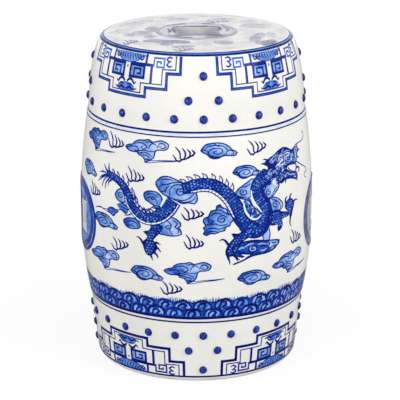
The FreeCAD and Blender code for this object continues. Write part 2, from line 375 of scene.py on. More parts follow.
def mitres(line, loop):
    # at each place the direction across the line, longer where the line turns a corner
    across = []
    count = len(line)
    for i in range(count):
        before = line[i - 1] if loop or i else line[0]
        after = line[(i + 1) % count] if loop or i < count - 1 else line[-1]
        sides = []
        for a, b in ((before, line[i]), (line[i], after)):
            length = math.dist(a, b)
            if length > 1e-6:
                sides.append(((a[1] - b[1]) / length, (b[0] - a[0]) / length))
        x = sum(side[0] for side in sides) / len(sides)
        y = sum(side[1] for side in sides) / len(sides)
        stretch = max(x * x + y * y, 0.3)
        across.append((x / stretch, y / stretch))
    return across


def width_at(widths, t):
    # the brush's width along the stroke, from widths set at even spaces
    if isinstance(widths, (int, float)):
        return widths
    place = t * (len(widths) - 1)
    i = min(int(place), len(widths) - 2)
    return widths[i] + (widths[i + 1] - widths[i]) * (place - i)


def ribbon(bm, line, widths, profile, load, loop=False):
    # a flat grid laid along a line; profile gives the lift across it, load the cobalt in the brush
    tone = bm.verts.layers.float.get("cobalt") or bm.verts.layers.float.new("cobalt")
    steps, rows = len(line) if loop else len(line) - 1, len(profile) - 1
    across = mitres(line, loop)
    made = bmesh.ops.create_grid(bm, x_segments=steps, y_segments=rows, size=1.0)["verts"]
    for vert in made:
        i, row = round((vert.co.x + 1) / 2 * steps), round((vert.co.y + 1) / 2 * rows)
        half = width_at(widths, i / steps) / 2 * (2 * row / rows - 1)
        i %= len(line)
        vert.co = (line[i][0] + across[i][0] * half, line[i][1] + across[i][1] * half, profile[row])
        vert[tone] = load - (0.1 if row in (0, rows) else 0)


def grow_thick(bm, thickness):
    # a closed thin body under each painted or pressed sheet
    bmesh.ops.remove_doubles(bm, verts=bm.verts, dist=1e-4)
    bm.normal_update()
    bmesh.ops.solidify(bm, geom=bm.faces[:], thickness=thickness)


def bowed_square(centre, side, bow, count=8):
    # a square hole whose sides bow in towards its middle, anticlockwise from its lower right corner
    half = side / 2
    outline = []
    for turn in range(4):
        cos, sin = ((1, 0), (0, 1), (-1, 0), (0, -1))[turn]
        for i in range(count):
            t = i / count
            out, along = half - arc_offset(t, bow), side * t - half
            outline.append((centre[0] + out * cos - along * sin, centre[1] + out * sin + along * cos))
    return outline


# Cobalt under the clear glaze: from thin blue wash to near black blue by the brush's load, with the
# grain and pooling of ground pigment, and the fine ripple of the glaze that covers it
COBALT_TONES = (
    (0.0, "#E9EFF9"), (0.2, "#B4CCF2"), (0.4, "#6C9AE0"), (0.6, "#2058BC"), (0.8, "#022C94"),
    (1.0, "#010868"),
)


def cobalt_paint(name, sockets, tones=COBALT_TONES, pooling=0.07):
    # grain of 2.4 mm, coarse enough to show, and pools of 15 mm, both added to the brush's load
    material, tree, shader = new_material(name, sockets)
    where = add(tree, "TexCoord").outputs["Object"]
    grain = mottle(tree, where, 2.4, -0.05, 0.05)
    pooled = mottle(tree, where, 15, -pooling, pooling)
    both = add(tree, "Math", {0: grain, 1: pooled}, operation="ADD").outputs["Value"]
    load = add(tree, "Attribute", attribute_name="cobalt").outputs["Fac"]
    shade = add(tree, "Math", {0: load, 1: both}, operation="ADD").outputs["Value"]
    ramp = add(tree, "ValToRGB", {"Fac": shade})
    stops = ramp.color_ramp.elements
    for i, (place, colour) in enumerate(tones):
        stop = stops[i] if i < 2 else stops.new(place)
        stop.position, stop.color = place, linear(colour)
    tree.links.new(ramp.outputs["Color"], shader.inputs["Base Color"])
    glaze_surface(tree, shader, where)
    return material


# Under its glaze the line paint has hardly any shine of its own, so that it stays blue where it is seen
# at a flat angle. The wash is the same paint, more clouded, as it pools where the brush rests.
SUNK = {"IOR": 1.5, "Specular IOR Level": 0.12}
cobalt_glaze = cobalt_paint("cobalt under clear glaze", SUNK)
cobalt_wash = cobalt_paint("pooled cobalt wash under clear glaze", SUNK, pooling=0.16)


def finish_paint(bm, name, place=round_barrel, thickness=0.4, slot="cobalt_glaze", paint=cobalt_glaze):
    # gives the paint its body, bends it on to the stool and hangs it there
    grow_thick(bm, thickness)
    wrap(bm, place)
    finish_piece(bm, name, paint, slot)


# The seat and the right hand coins are painted in greyed tones, a painted glare: the sheen that washes out
# their blue where they are seen at a flat angle
GLARE_GREY_TONES = (
    (0.0, "#F2F0EF"), (0.2, "#DCDBDF"), (0.4, "#BFBFCE"), (0.6, "#8F91B2"), (0.8, "#50538A"),
    (1.0, "#0C0E3A"),
)
glare_grey_wash = cobalt_paint("cobalt greyed by painted glare", GLAZE, GLARE_GREY_TONES, 0.1)

COIN_RIM, HOLE_EDGE = 6.0, 3.0
RING_INSET, RING_WIDTH = 10.5, 8.5
RIM_PROFILE, RING_PROFILE = (0.1, 0.75, 1.1, 1.2, 1.1, 0.75, 0.1), (0.16, 0.2, 0.2, 0.16)
FRONT, REAR = (-COIN_SHIFT, PANEL_Z), (COIN_SHIFT, PANEL_Z)


def rear_hole(grow=0.0):
    # the hole of the coin behind, cut short by the front coin's edge
    radius = COIN_R - grow
    square = bowed_square(REAR, COIN_HOLE + 2 * grow, HOLE_BOW)
    clear = [math.dist(p, FRONT) > radius for p in square]
    first = next(i for i in range(len(square)) if clear[i] and not clear[i - 1])
    places = [(first + i) % len(square) for i in range(len(square))]
    outline = [square[i] for i in places if clear[i]]
    ends = [math.atan2(p[1] - FRONT[1], p[0] - FRONT[0]) for p in (outline[-1], outline[0])]
    return outline + arc_points(FRONT, radius, ends[0], ends[1], 10)[1:-1]


def ring_behind(radius, hidden):
    # the part of a ring on the rear coin that the front coin leaves open
    return arc_points(REAR, radius, hidden - math.pi, math.pi - hidden, 56)


line_holes = (bowed_square(FRONT, COIN_HOLE + 2 * HOLE_EDGE, HOLE_BOW), rear_hole(HOLE_EDGE))

# the right hand coins are painted in the greyed tones of painted glare, the left hand ones in full blue
for side, hand, paint, web in ((1, "right", glare_grey_wash, 0.48), (-1, "left", cobalt_wash, 0.46)):
    def carry(points):
        return [on_side(y, z, side) for y, z in points]

    holes = [carry(bowed_square(FRONT, COIN_HOLE, HOLE_BOW)), carry(rear_hole())]
    bm = flat_sheet([carry(both_coins(COIN_R - 0.15))] + holes)
    slice_grid(bm, 6.0, 6.0)
    face_out(bm)
    grow_thick(bm, WALL)
    wrap(bm, round_barrel)
    finish_piece(bm, f"pierced_coin_panel_{hand}", white_glaze, "white_glaze", f"coin_panel_{hand}")

    # the rims that stand up round both coins, a dark ring inside each, and a line round each hole
    bm = bmesh.new()
    rim_r, ring_r = COIN_R - COIN_RIM / 2, COIN_R - RING_INSET
    behind = ring_behind(rim_r, math.acos(COIN_SHIFT / (COIN_R + 1.5)))
    ribbon(bm, carry(behind), COIN_RIM - 0.2, RIM_PROFILE, 0.8)
    front_rim = arc_points(FRONT, rim_r, 0, TURN, 80)[:-1]
    ribbon(bm, carry(front_rim), COIN_RIM - 0.2, RIM_PROFILE, 0.8, loop=True)
    front_ring = arc_points(FRONT, ring_r, 0, TURN, 72)[:-1]
    ribbon(bm, carry(front_ring), RING_WIDTH, RING_PROFILE, 0.84, loop=True)
    behind = ring_behind(ring_r, math.acos(COIN_SHIFT / (COIN_R - 4)) - 0.08)
    ribbon(bm, carry(behind), RING_WIDTH, RING_PROFILE, 0.84)
    for hole in line_holes:
        ribbon(bm, carry(hole), 1.6, (0.2, 0.24, 0.2), 0.9, loop=True)
    finish_paint(bm, f"coin_rims_and_lines_{hand}", thickness=0.9, paint=paint)

    # the wash that fills the coins inside their rings, up to the line round each hole
    hidden = math.acos(COIN_SHIFT / COIN_R) + 0.06
    crescent = ring_behind(COIN_R - 13, hidden)
    crescent += arc_points(FRONT, COIN_R - 1, hidden, -hidden, 24)[1:-1]
    full = arc_points(FRONT, COIN_R - 13, 0, TURN, 60)[:-1]
    for outline, hole, name in zip(
        (full, crescent), line_holes, (f"coin_wash_{hand}", f"rear_coin_wash_{hand}")
    ):
        bm = flat_sheet([carry(outline), carry(hole)])
        slice_grid(bm, 6.0, 6.0)
        face_out(bm)
        tone = bm.verts.layers.float.new("cobalt")
        for vert in bm.verts:
            vert[tone] = web
            vert.co.z = 0.1
        finish_paint(bm, name, slot="blue_wash_glaze", paint=paint)

# Seat slab.
# A thick round slab of porcelain with a rounded shoulder. It closes the barrel, drops a little way
# inside the wall and is luted there. A rebate round its middle hole takes the seat's coin.

SEAT_Z, SEAT_COIN_R = 456.4, 55.0


def arc_through(a, b, c, count):
    # places along the arc from a through b to c
    ax, ay, bx, by = a[0] - c[0], a[1] - c[1], b[0] - c[0], b[1] - c[1]
    twice = 2 * (ax * by - ay * bx)
    a2, b2 = ax * ax + ay * ay, bx * bx + by * by
    centre = (c[0] + (by * a2 - ay * b2) / twice, c[1] + (ax * b2 - bx * a2) / twice)
    start, end = (math.atan2(p[1] - centre[1], p[0] - centre[0]) for p in (a, c))
    return arc_points(centre, math.dist(a, centre), start, end, count)


SHOULDER = ((134.5, 444.0), (129.0, 451.9), (118.0, SEAT_Z))
shoulder = arc_through(*SHOULDER, 24)
slab_outline = shoulder + [
    (90, SEAT_Z), (56.4, SEAT_Z), (55.6, SEAT_Z - 0.3), (55.2, SEAT_Z - 1), (55.2, 450.4), (47, 450.4),
    (47, 441.5), (126.3, 441.5), (126.3, 444),
]
finish_piece(spun(slab_outline), "glazed_seat_slab", white_glaze, "white_glaze", "seat_slab")

# Seat coin.
# A pierced porcelain coin with a squarish hole, let into the seat so that the stool can be lifted by
# one hand. Its rims stand up a little, and its face is washed in blue, greyed as painted glare.

SEAT_HOLE, SEAT_BOW = 56.0, 2.0


def flat_top(x, y, lift):
    # a place on the seat, with x and y from its middle and lift above its flat, in millimetres
    return Vector((x * MM, y * MM, (SEAT_Z + lift) * MM))


coin_edge = arc_points((0, 0), SEAT_COIN_R, 0, TURN, 96)[:-1]
bm = flat_sheet([coin_edge, bowed_square((0, 0), SEAT_HOLE, SEAT_BOW)])
slice_grid(bm, 9.0, 9.0)
face_out(bm)
grow_thick(bm, 14.6)
tone = bm.verts.layers.float.new("cobalt")
for vert in bm.verts:
    vert[tone] = 0.3 if vert.co.z > -1 else 0.04
    from_middle = math.hypot(vert.co.x, vert.co.y)
    if vert.co.z < -1 and from_middle > SEAT_COIN_R - 8:
        # below the ledge the coin is narrower, so that it sits in the rebate
        narrower = (SEAT_COIN_R - 8.3) / from_middle
        vert.co.x, vert.co.y = vert.co.x * narrower, vert.co.y * narrower
wrap(bm, flat_top)
bmesh.ops.recalc_face_normals(bm, faces=bm.faces)
finish_piece(bm, "pierced_seat_coin", glare_grey_wash, "blue_wash_glaze", "seat_coin")

SEAT_RIM_PROFILE = (0.02, 0.4, 0.6, 0.6, 0.4, 0.02)
bm = bmesh.new()
ribbon(bm, arc_points((0, 0), SEAT_COIN_R - 3, 0, TURN, 96)[:-1], 5.6, SEAT_RIM_PROFILE, 0.52, loop=True)
ribbon(bm, bowed_square((0, 0), SEAT_HOLE + 4, SEAT_BOW, 12), 4, SEAT_RIM_PROFILE, 0.66, loop=True)
finish_paint(bm, "seat_coin_rims", flat_top, 0.6, "blue_wash_glaze", glare_grey_wash)

# Nails.
# Small domes of clay, pressed in a mould and stuck on with slip, like the nail heads that hold the hide
# of a drum. Each has a full coat of cobalt under the glaze, painted lighter on its crown as a painted
# highlight.

NAIL_R, NAIL_RISE, NAIL_EDGE, NAIL_SUNK = 5.8, 3.4, 0.15, 1.2
PAIR_TURN = math.radians(7.8)
# Over the nails' thick coat the glaze stands proud and wet; the bright spot on each dome is a painted
# highlight, its lighter crown
nail_glaze = cobalt_paint("cobalt under thick glaze", {"IOR": 1.5, "Specular IOR Level": 0.3})


def lay(bm, part, loads):
    # adds a part to its group, with the cobalt load that each of its places is painted in
    sheet = bpy.data.meshes.new("part")
    part.to_mesh(sheet)
    part.free()
    before = len(bm.verts)
    bm.from_mesh(sheet)
    bpy.data.meshes.remove(sheet)
    tone = bm.verts.layers.float.get("cobalt") or bm.verts.layers.float.new("cobalt")
    bm.verts.ensure_lookup_table()
    for vert, load in zip(bm.verts[before:], loads):
        vert[tone] = load


def add_nails(bm, z, turns):
    # nails at one height: each sunk a little into the wall, with a low edge under its dome
    dome = NAIL_RISE - NAIL_EDGE
    outline = [(0, -NAIL_SUNK), (NAIL_R, -NAIL_SUNK), (NAIL_R, NAIL_EDGE)]
    outline += [(NAIL_R * math.cos(a), NAIL_EDGE + dome * math.sin(a)) for a in (0.3, 0.6, 0.9, 1.2)]
    for turn in turns:
        part = spun(outline + [(0, NAIL_RISE)], 18, 1.0)
        # painted highlight: the cobalt is made lighter towards the crown of each dome
        loads = [1.02 - 0.34 * (max(vert.co.z, 0) / NAIL_RISE) ** 3 for vert in part.verts]
        bmesh.ops.translate(part, verts=part.verts, vec=(turn * U_MM, z, 0))
        lay(bm, part, loads)


sides = [math.pi / 2 * i for i in range(4)]
pairs = [side + way * PAIR_TURN for side in sides for way in (-1, 1)]
full_row = [TURN * i / 24 for i in range(24)]
for name, groups in {
    "upper_nail_row": [(370.0, full_row)],
    "upper_gap_nails": [(394.5, pairs), (426.0, sides)],
    "lower_nail_row": [(69.5, full_row)],
    "lower_gap_nails": [(47.0, pairs), (18.0, sides)],
}.items():
    bm = bmesh.new()
    for z, turns in groups:
        add_nails(bm, z, turns)
    wrap(bm, round_barrel)
    finish_piece(bm, f"cobalt_{name}", nail_glaze, "cobalt_glaze", name)

# Painted lines round the barrel.
# The painter turns the stool on a wheel and holds the loaded brush still: a double line at the rim, one
# where the belly meets the upper band, one at its foot, and the base line over the bare foot.


def painted_ring(path, load, wobble=0.0, lift=0.26):
    # a line right round the stool, along a path of (radius, height) up its face
    outer, inner = [], []
    for i, (r, z) in enumerate(path):
        before, after = path[max(i - 1, 0)], path[min(i + 1, len(path) - 1)]
        length = math.dist(before, after)
        out, up = (after[1] - before[1]) / length, (before[0] - after[0]) / length
        outer.append((r + out * lift, z + up * lift))
        inner.append((r - out * 0.2, z - up * 0.2))
    ring = spun(outer + inner[::-1], 180)
    tone = ring.verts.layers.float.new("cobalt")
    for vert in ring.verts:
        turn = math.atan2(vert.co.y, vert.co.x)
        vert.co.z += wobble * MM * (0.6 * math.sin(3 * turn + path[0][1]) + 0.4 * math.sin(8 * turn))
        vert[tone] = load
    return ring


def up_face(z_low, z_high, parts=6):
    # the path of a line up the wall
    heights = [z_low + (z_high - z_low) * i / parts for i in range(parts + 1)]
    return [(outer_r(z), z) for z in heights]


def up_shoulder(z_low, z_high):
    # the same over the seat's rounded shoulder
    fine = arc_through(*SHOULDER, 240)
    return [(r, z) for r, z in fine if z_low <= z <= z_high]


for name, ring in {
    "rim_line_broad": painted_ring(up_shoulder(450.0, 452.2), 1.0),
    "rim_line_fine": painted_ring(up_shoulder(453.3, 454.1), 1.0),
    "rim_wash": painted_ring(up_shoulder(452.2, 453.3), 0.46, 0, 0.12),
    "neck_line_broad": painted_ring(up_face(351.8, 354.4), 1.0, 0.3),
    "neck_line_fine": painted_ring(up_face(346.5, 348.1), 1.0, 0.25),
    "neck_wash": painted_ring(up_face(348.4, 351.6), 0.08, 0.1, 0.12),
    "foot_line": painted_ring(up_face(88.6, 91.0), 1.0, 0.2),
    "base_line": painted_ring([(138.9, 6.4), (139.3, 8.0), (139.37, 8.6), (139.42, 9.0)], 0.97, 0.15),
}.items():
    finish_piece(ring, name, cobalt_glaze, "cobalt_glaze")

# Wave band.
# A border of rolling waves round the belly's foot: a dark ground line, two rows of scrolled crests over
# a blue wash, and short upright strokes of spray on top.

layers = [0]
LAYER, LAYERS = 0.0006, 30


def next_lift(lift):
    # each stroke lies a hair over the one before, as paint does
    layers[0] = (layers[0] + 1) % LAYERS
    return lift + LAYER * layers[0]


def stroke(bm, points, widths, load, lift=0.24, straight=False, loop=False, pace=2.5, shift=(0, 0)):
    # one brush stroke, curved or square cornered
    moved = [(u + shift[0], z + shift[1]) for u, z in points]
    line = straight_line(moved, 7.0, loop) if straight else smooth_line(moved, pace, loop)
    level = next_lift(lift)
    ribbon(bm, line, widths, (level, level, level), load, loop)


def wash(bm, outline, load, lift=0.08, step=7.0, straight=False, fade=0.0, pool=0.12):
    # a patch of thin blue inside an outline, darker where it pools at its edge, and fading to the right
    edge = straight_line(outline, 7.0, True) if straight else smooth_line(outline, 3.5, True)
    sheet = flat_sheet([edge])
    slice_grid(sheet, step, step)
    face_out(sheet)
    level = next_lift(lift)
    left = min(u for u, z in outline)
    span = max(u for u, z in outline) - left
    loads = []
    for vert in sheet.verts:
        pooled = pool if vert.is_boundary else 0
        loads.append(load - 0.04 + pooled + fade * (1 - 2 * (vert.co.x - left) / span))
        vert.co.z = level
    lay(bm, sheet, loads)


WAVES, WAVE_LOW, WAVE_ROW = 37, 104.3, 12.6
wave_pitch = 2 * HALF_ROUND / WAVES
painter = random.Random(5)
finish_piece(painted_ring(up_face(94.6, 98.6), 1.0, 0.35), "wave_ground_line", cobalt_glaze, "cobalt_glaze")
finish_piece(
    painted_ring(up_face(98.0, 121.0, 10), 0.66, 0.5, 0.06), "wave_wash", cobalt_glaze, "blue_wash_glaze"
)

WAVE_PALES = (
    ([(-9.4, -4.6), (-8.2, 0.4), (-4.6, 3.4)], (2.0, 3.8, 1.6)),
    ([(-3.8, -4.4), (-2.0, -0.6), (1.0, 0.2)], (1.8, 3.4, 2.2)),
    ([(4.6, 3.2), (7.6, 0.8), (7.2, -3.0), (4.4, -4.4)], (1.4, 3.6, 3.0, 1.4)),
    ([(10.2, 3.4), (12.8, 5.0), (15.0, 3.4)], (1.2, 2.8, 1.2)),
)
WAVE_DARKS = (
    (
        [(-12.2, -6.0), (-11.2, 1.0), (-6.4, 5.6), (0.4, 6.6), (6.8, 5.0), (10.8, 0.6), (12.0, -5.0)],
        (1.6, 2.8, 3.8, 3.2, 1.6)
    ),
    (
        [(-6.6, -6.0), (-5.8, -1.0), (-2.4, 2.2), (1.8, 2.4), (4.0, -0.4), (1.6, -3.2)],
        (1.4, 2.4, 3.2, 3.0, 2.2)
    ),
    ([(0.0, -6.4), (0.4, -4.2), (2.6, -3.0)], (1.2, 2.2, 1.2)),
    ([(8.6, 5.8), (12.6, 2.8), (16.2, 5.6)], (1.2, 2.4, 1.2)),
)
bm = bmesh.new()
for i in range(WAVES):
    for row in (0, 1):
        u = wave_pitch * (i + 0.5 * row) - HALF_ROUND + painter.uniform(-1.6, 1.6)
        z = WAVE_LOW + WAVE_ROW * row + painter.uniform(-0.8, 0.8)
        for lines, load, lift in ((WAVE_PALES, 0.42, 0.16), (WAVE_DARKS, 0.94, 0.2)):
            for line, widths in lines:
                load_here = load + painter.uniform(-0.12, 0.12)
                by_hand = []
                for x, y in line:
                    by_hand.append((x + painter.uniform(-1.3, 1.3), y + painter.uniform(-0.9, 0.9)))
                stroke(bm, by_hand, widths, load_here, lift, pace=3.4, shift=(u, z))
finish_paint(bm, "rolling_waves")

SPRAY = 440
bm = bmesh.new()
for i in range(SPRAY):
    u = 2 * HALF_ROUND * i / SPRAY - HALF_ROUND + painter.uniform(-0.5, 0.5)
    rise = painter.uniform(2.4, 5.6) + 1.2 * math.sin(u / 9)
    tip = (u + painter.uniform(-0.6, 0.6), 122.2 + rise)
    stroke(bm, [(u, 119.4), tip], (1.9, 0.5), painter.uniform(0.6, 0.98), 0.14, pace=9)
finish_paint(bm, "wave_spray")

# Key fret lappets.
# Stepped hangings in brush line under the rim, and the same standing on the base line. Each holds a
# pair of fret squares, a shell, a bat and small scrolls, drawn once and mirrored by the painter.

UPPER_LAPPETS, LOWER_LAPPETS = (-119.0, 107.0), (-120.5, 120.5)
SCROLLS = (
    [(73, 2.5), (68, 1.5), (65, 4.5), (68.5, 7), (71, 6)],
    [(71, 6), (68, 8), (65.5, 11), (69, 13.5), (73, 12)],
)


def draw_lappet(bm, middle, start, reach, spread, load):
    # x from the lappet's middle and d down from the rim (or up from the base), in millimetres
    def at(points, half=1):
        return [(middle + x * spread * half, start + reach * d) for x, d in points]

    steps = [(86, 0), (86, 22), (66, 22), (66, 42), (34, 42), (34, 54)]
    stroke(bm, at(steps) + at(steps[::-1], -1), 4.0, load, straight=True)
    if reach < 0:
        # the upper ones have a paler line down the middle of their broad border
        stroke(bm, at(steps) + at(steps[::-1], -1), 1.3, 0.66, 0.3, straight=True)
    inner = [(79, 0), (79, 17), (59, 17), (59, 36.5), (26, 36.5), (26, 49.5)]
    stroke(bm, at(inner) + at(inner[::-1], -1), 1.5, load, straight=True)
    for half in (-1, 1):
        stroke(bm, at([(42, 36), (42, 13), (6, 13)], half), 3.8, load - 0.04, 0.26, straight=True)
        stroke(bm, at([(32, 0), (32, 12)], half), 3.4, load - 0.06, 0.28, straight=True)
        wash(bm, at([(8, 16), (29, 16), (29, 29), (8, 29)], half), 0.36, 0.1, straight=True)
        square = [(6, 14.5), (30, 14.5), (30, 30), (6, 30)]
        stroke(bm, at(square, half), 3.4, load, 0.3, straight=True, loop=True)
        stroke(
            bm, at([(13, 29), (13, 19), (24, 19), (24, 25), (18.5, 25)], half), 2.4, load, 0.32,
            straight=True
        )
        small = [(45, 14.5), (45, 3.5), (61, 3.5), (61, 14.5), (50, 14.5), (50, 8), (56, 8), (56, 11)]
        stroke(bm, at(small, half), 2.3, load - 0.1 if reach > 0 else load - 0.3, 0.3, straight=True)
        for scroll in SCROLLS:
            stroke(bm, at(scroll, half), (1.6, 2.6, 1.4), load - 0.15, 0.3)
        stroke(
            bm, at([(24, 2), (27, 4.5), (24, 8), (20.5, 6), (22.5, 4.5)], half), (1.0, 2.0, 1.0), load, 0.3
        )
        # the bat under the squares, its wings spread
        stroke(
            bm, at([(2, 37), (7, 33), (12, 35), (15, 39), (18, 36)], half), (2.4, 3.6, 2.6, 1.2), load, 0.3
        )
        stroke(bm, at([(1, 47), (8, 44), (13, 47), (20, 45)], half), (3.4, 3.6, 2.2, 1.0), load - 0.05, 0.3)
        stroke(bm, at([(3, 41), (9, 40), (13, 42)], half), (1.6, 2.4, 1.0), load - 0.1, 0.32)
    wash(
        bm, at([(-17, 46), (-11, 40), (-4, 38), (4, 38), (11, 40), (17, 46), (9, 49), (-9, 49)]), 0.48,
        0.12
    )
    stroke(bm, at([(0, 15.5), (0, 19)]), (1.0, 2.4), load, 0.3)
    # the shell at the rim, ribbed from its hinge
    wash(bm, at([(-28, 1), (-21, 6.5), (-10, 10), (0, 11), (10, 10), (21, 6.5), (28, 1)]), 0.46, 0.1)
    for i in range(-4, 5):
        rib = [(i * 4.6, 1.5), (i * 5.4 + 1.5, 5.5), (i * 5.0 + 3.5, 9.5 - 0.32 * i * i)]
        stroke(bm, at(rib), (1.0, 1.9, 0.8), load - 0.06, 0.28)
    stroke(
        bm, at([(-27, 2), (-18, 8.5), (-8, 11.4), (0, 12), (8, 11.4), (18, 8.5), (27, 2)]), (1.0, 1.5, 1.0),
        load - 0.1, 0.3
    )


for name, middles, start, reach, spread, load in (
    ("upper_lappets", UPPER_LAPPETS, 450.0, -1.0, 1.0, 0.94),
    ("lower_lappets", LOWER_LAPPETS, 8.5, 0.95, 1.07, 1.0),
):
    bm = bmesh.new()
    for turn in (0, 1):
        for middle in middles:
            draw_lappet(bm, middle + turn * HALF_ROUND, start, reach, spread, load)
    finish_paint(bm, name)

# Clouds and flames.
# The free field of the belly is scattered with drifting clouds, filled with a mid blue wash and drawn
# over in dark contour, and with tongues of flame in quick single strokes. The back has them again.

# how far a cloud's wash fades from left to right, and the fine brush for the lines inside it
CLOUD_FADE, FINE_BRUSH = 0.16, (0.9, 1.6, 1.4, 0.9)


def place_in(points, corner, size, tilt=0.0):
    # carries a motif drawn in a box of one by one to its corner and size on the barrel
    return [(corner[0] + x * size[0], corner[1] + y * size[1] + tilt * x * size[0]) for x, y in points]


def drawn_in(outline, share):
    # the outline once more, smaller, round its own middle
    us, zs = [u for u, z in outline], [z for u, z in outline]
    middle = (min(us) + 0.5 * (max(us) - min(us)), min(zs) + 0.5 * (max(zs) - min(zs)))
    return [(middle[0] + (u - middle[0]) * share, middle[1] + (z - middle[1]) * share) for u, z in outline]


def contour(bm, outline, load, width=1.6):
    # the dark line round a motif
    stroke(bm, outline, width, load, loop=True, pace=3.0)


OVAL = [
    (0, .53), (.06, .74), (.14, .92), (.26, .97), (.38, 1), (.52, .99), (.66, .9), (.78, .72), (.86, .5),
    (.94, .42), (1, .3), (.96, .16), (.84, .12), (.72, .17), (.6, .15), (.48, .04), (.36, 0), (.24, .1),
    (.16, .3), (.06, .4),
]
OVAL_LINES = (
    [
        (.68, .32), (.54, .12), (.3, .16), (.2, .42), (.34, .66), (.55, .62), (.59, .42), (.46, .28),
        (.34, .4), (.44, .52)
    ],
    [(.1, .6), (.2, .78), (.34, .84), (.5, .83), (.66, .7), (.74, .46)],
    [(.36, .97), (.42, .84), (.52, .76)],
    [(.68, .2), (.7, .4), (.79, .5), (.88, .4), (.9, .24), (.82, .22)],
    [(.02, .52), (.1, .56), (.19, .46), (.18, .34)], [(.26, .12), (.38, .1), (.5, .06)],
)


def oval_cloud(bm, left, low, right, high):
    corner, size = (left, low), (right - left, high - low)
    outline = place_in(OVAL, corner, size)
    wash(bm, outline, 0.38, fade=CLOUD_FADE)
    contour(bm, outline, 0.96)
    for line in OVAL_LINES:
        stroke(bm, place_in(line, corner, size), FINE_BRUSH, 0.94, pace=3.0)


RUYI = [
    (0, .55), (.08, .66), (.17, .7), (.23, .83), (.33, .93), (.45, .95), (.56, 1), (.64, .9), (.7, .93),
    (.83, 1), (.92, .95), (1, .83), (.97, .66), (.89, .59), (.8, .59), (.72, .52), (.7, .35), (.67, .2),
    (.59, .07), (.5, 0), (.48, .1), (.42, .24), (.34, .28), (.3, .38), (.17, .38), (.08, .42),
]
RUYI_LINES = (
    [(.04, .5), (.1, .6), (.2, .62)],
    [(.24, .44), (.36, .36), (.46, .32)],
    [(.48, .86), (.58, .9), (.66, .84)],
    [(.1, .52), (.2, .62), (.3, .6), (.34, .48), (.26, .44), (.22, .5)],
    [(.22, .74), (.34, .82), (.46, .78), (.52, .64), (.44, .54), (.38, .6), (.42, .68)],
    [(.56, .6), (.6, .78), (.68, .84), (.76, .72)],
    [(.76, .66), (.8, .86), (.9, .86), (.94, .74), (.86, .66), (.8, .72), (.85, .78)],
    [(.34, .34), (.46, .42), (.58, .36), (.64, .24)],
    [(.44, .27), (.52, .3), (.6, .2)],
    [(.3, .42), (.46, .5), (.6, .48), (.7, .5)],
    [(.48, .08), (.54, .14), (.6, .1)],
)
RUYI_TAILS = (
    ([(.48, -.02), (.58, -.03), (.8, .06), (1.05, .12), (1.3, .18)], (0.8, 0.9, 1.1, 2.2, 0.6)),
    ([(.5, .1), (.62, .08), (.85, .13), (1.08, .16)], (0.7, 0.9, 0.9, 0.6)),
)


def tailed_cloud(bm, left, low, width, height, load):
    corner, size = (left, low), (width, height)
    outline = place_in(RUYI, corner, size)
    wash(bm, outline, load - 0.06, fade=CLOUD_FADE)
    contour(bm, outline, 0.94)
    for line in RUYI_LINES:
        stroke(bm, place_in(line, corner, size), FINE_BRUSH, 0.92, pace=3.0)
    for line, widths in RUYI_TAILS:
        stroke(bm, place_in(line, corner, size), widths, 0.84)


FLAME_TONGUES = (
    ([(0, .48), (.1, .24), (.17, .05), (.3, 0)], (0.8, 1.6, 2.2, 1.6)),
    ([(.1, 1), (.26, .74), (.34, .48), (.34, .2), (.42, .06)], (0.8, 2.0, 2.2, 1.8, 1.8)),
    ([(.42, .9), (.55, .62), (.58, .38), (.52, .14)], (0.9, 2.2, 2.4, 2.0)),
    ([(.64, .8), (.8, .52), (.78, .3), (.7, .2)], (0.9, 2.2, 2.2, 1.8)),
    ([(.86, .7), (1, .48), (.93, .34)], (1.0, 2.8, 1.8)),
    (
        [
            (.17, .07), (.3, -.02), (.42, .1), (.52, .12), (.6, .12), (.7, .2), (.8, .26), (.93, .34),
            (1, .46)
        ],
        (1.8, 2.6, 1.8, 2.8, 1.8, 2.8, 2.0, 2.6, 1.4)
    ),
)


def flame(bm, left, low, width, height, tilt, load=1.0):
    for line, widths in FLAME_TONGUES:
        stroke(bm, place_in(line, (left, low), (width, height), tilt), widths, load, pace=3.0)


def outlined(bm, outline, load, *lines):
    # a patch of wash with its contour and the lines drawn inside it
    wash(bm, outline, load - 0.06, fade=0.1)
    contour(bm, outline, 0.97)
    for line in lines:
        stroke(bm, line, FINE_BRUSH, 0.96, pace=2.6)


def curl(centre, size, turns, start=0.0):
    # a small spiral that winds in to its centre
    count = 9
    return [
        (
            centre[0] + size * (1 - 0.8 * i / count) * math.cos(start + TURN * turns * i / count),
            centre[1] + 0.8 * size * (1 - 0.8 * i / count) * math.sin(start + TURN * turns * i / count)
        )
        for i in range(count + 1)
    ]


def show_again(bm):
    # the same painting once more on the stool's back
    copied = bmesh.ops.duplicate(bm, geom=bm.verts[:] + bm.edges[:] + bm.faces[:])["geom"]
    verts = [part for part in copied if isinstance(part, bmesh.types.BMVert)]
    bmesh.ops.translate(bm, verts=verts, vec=(HALF_ROUND, 0, 0))


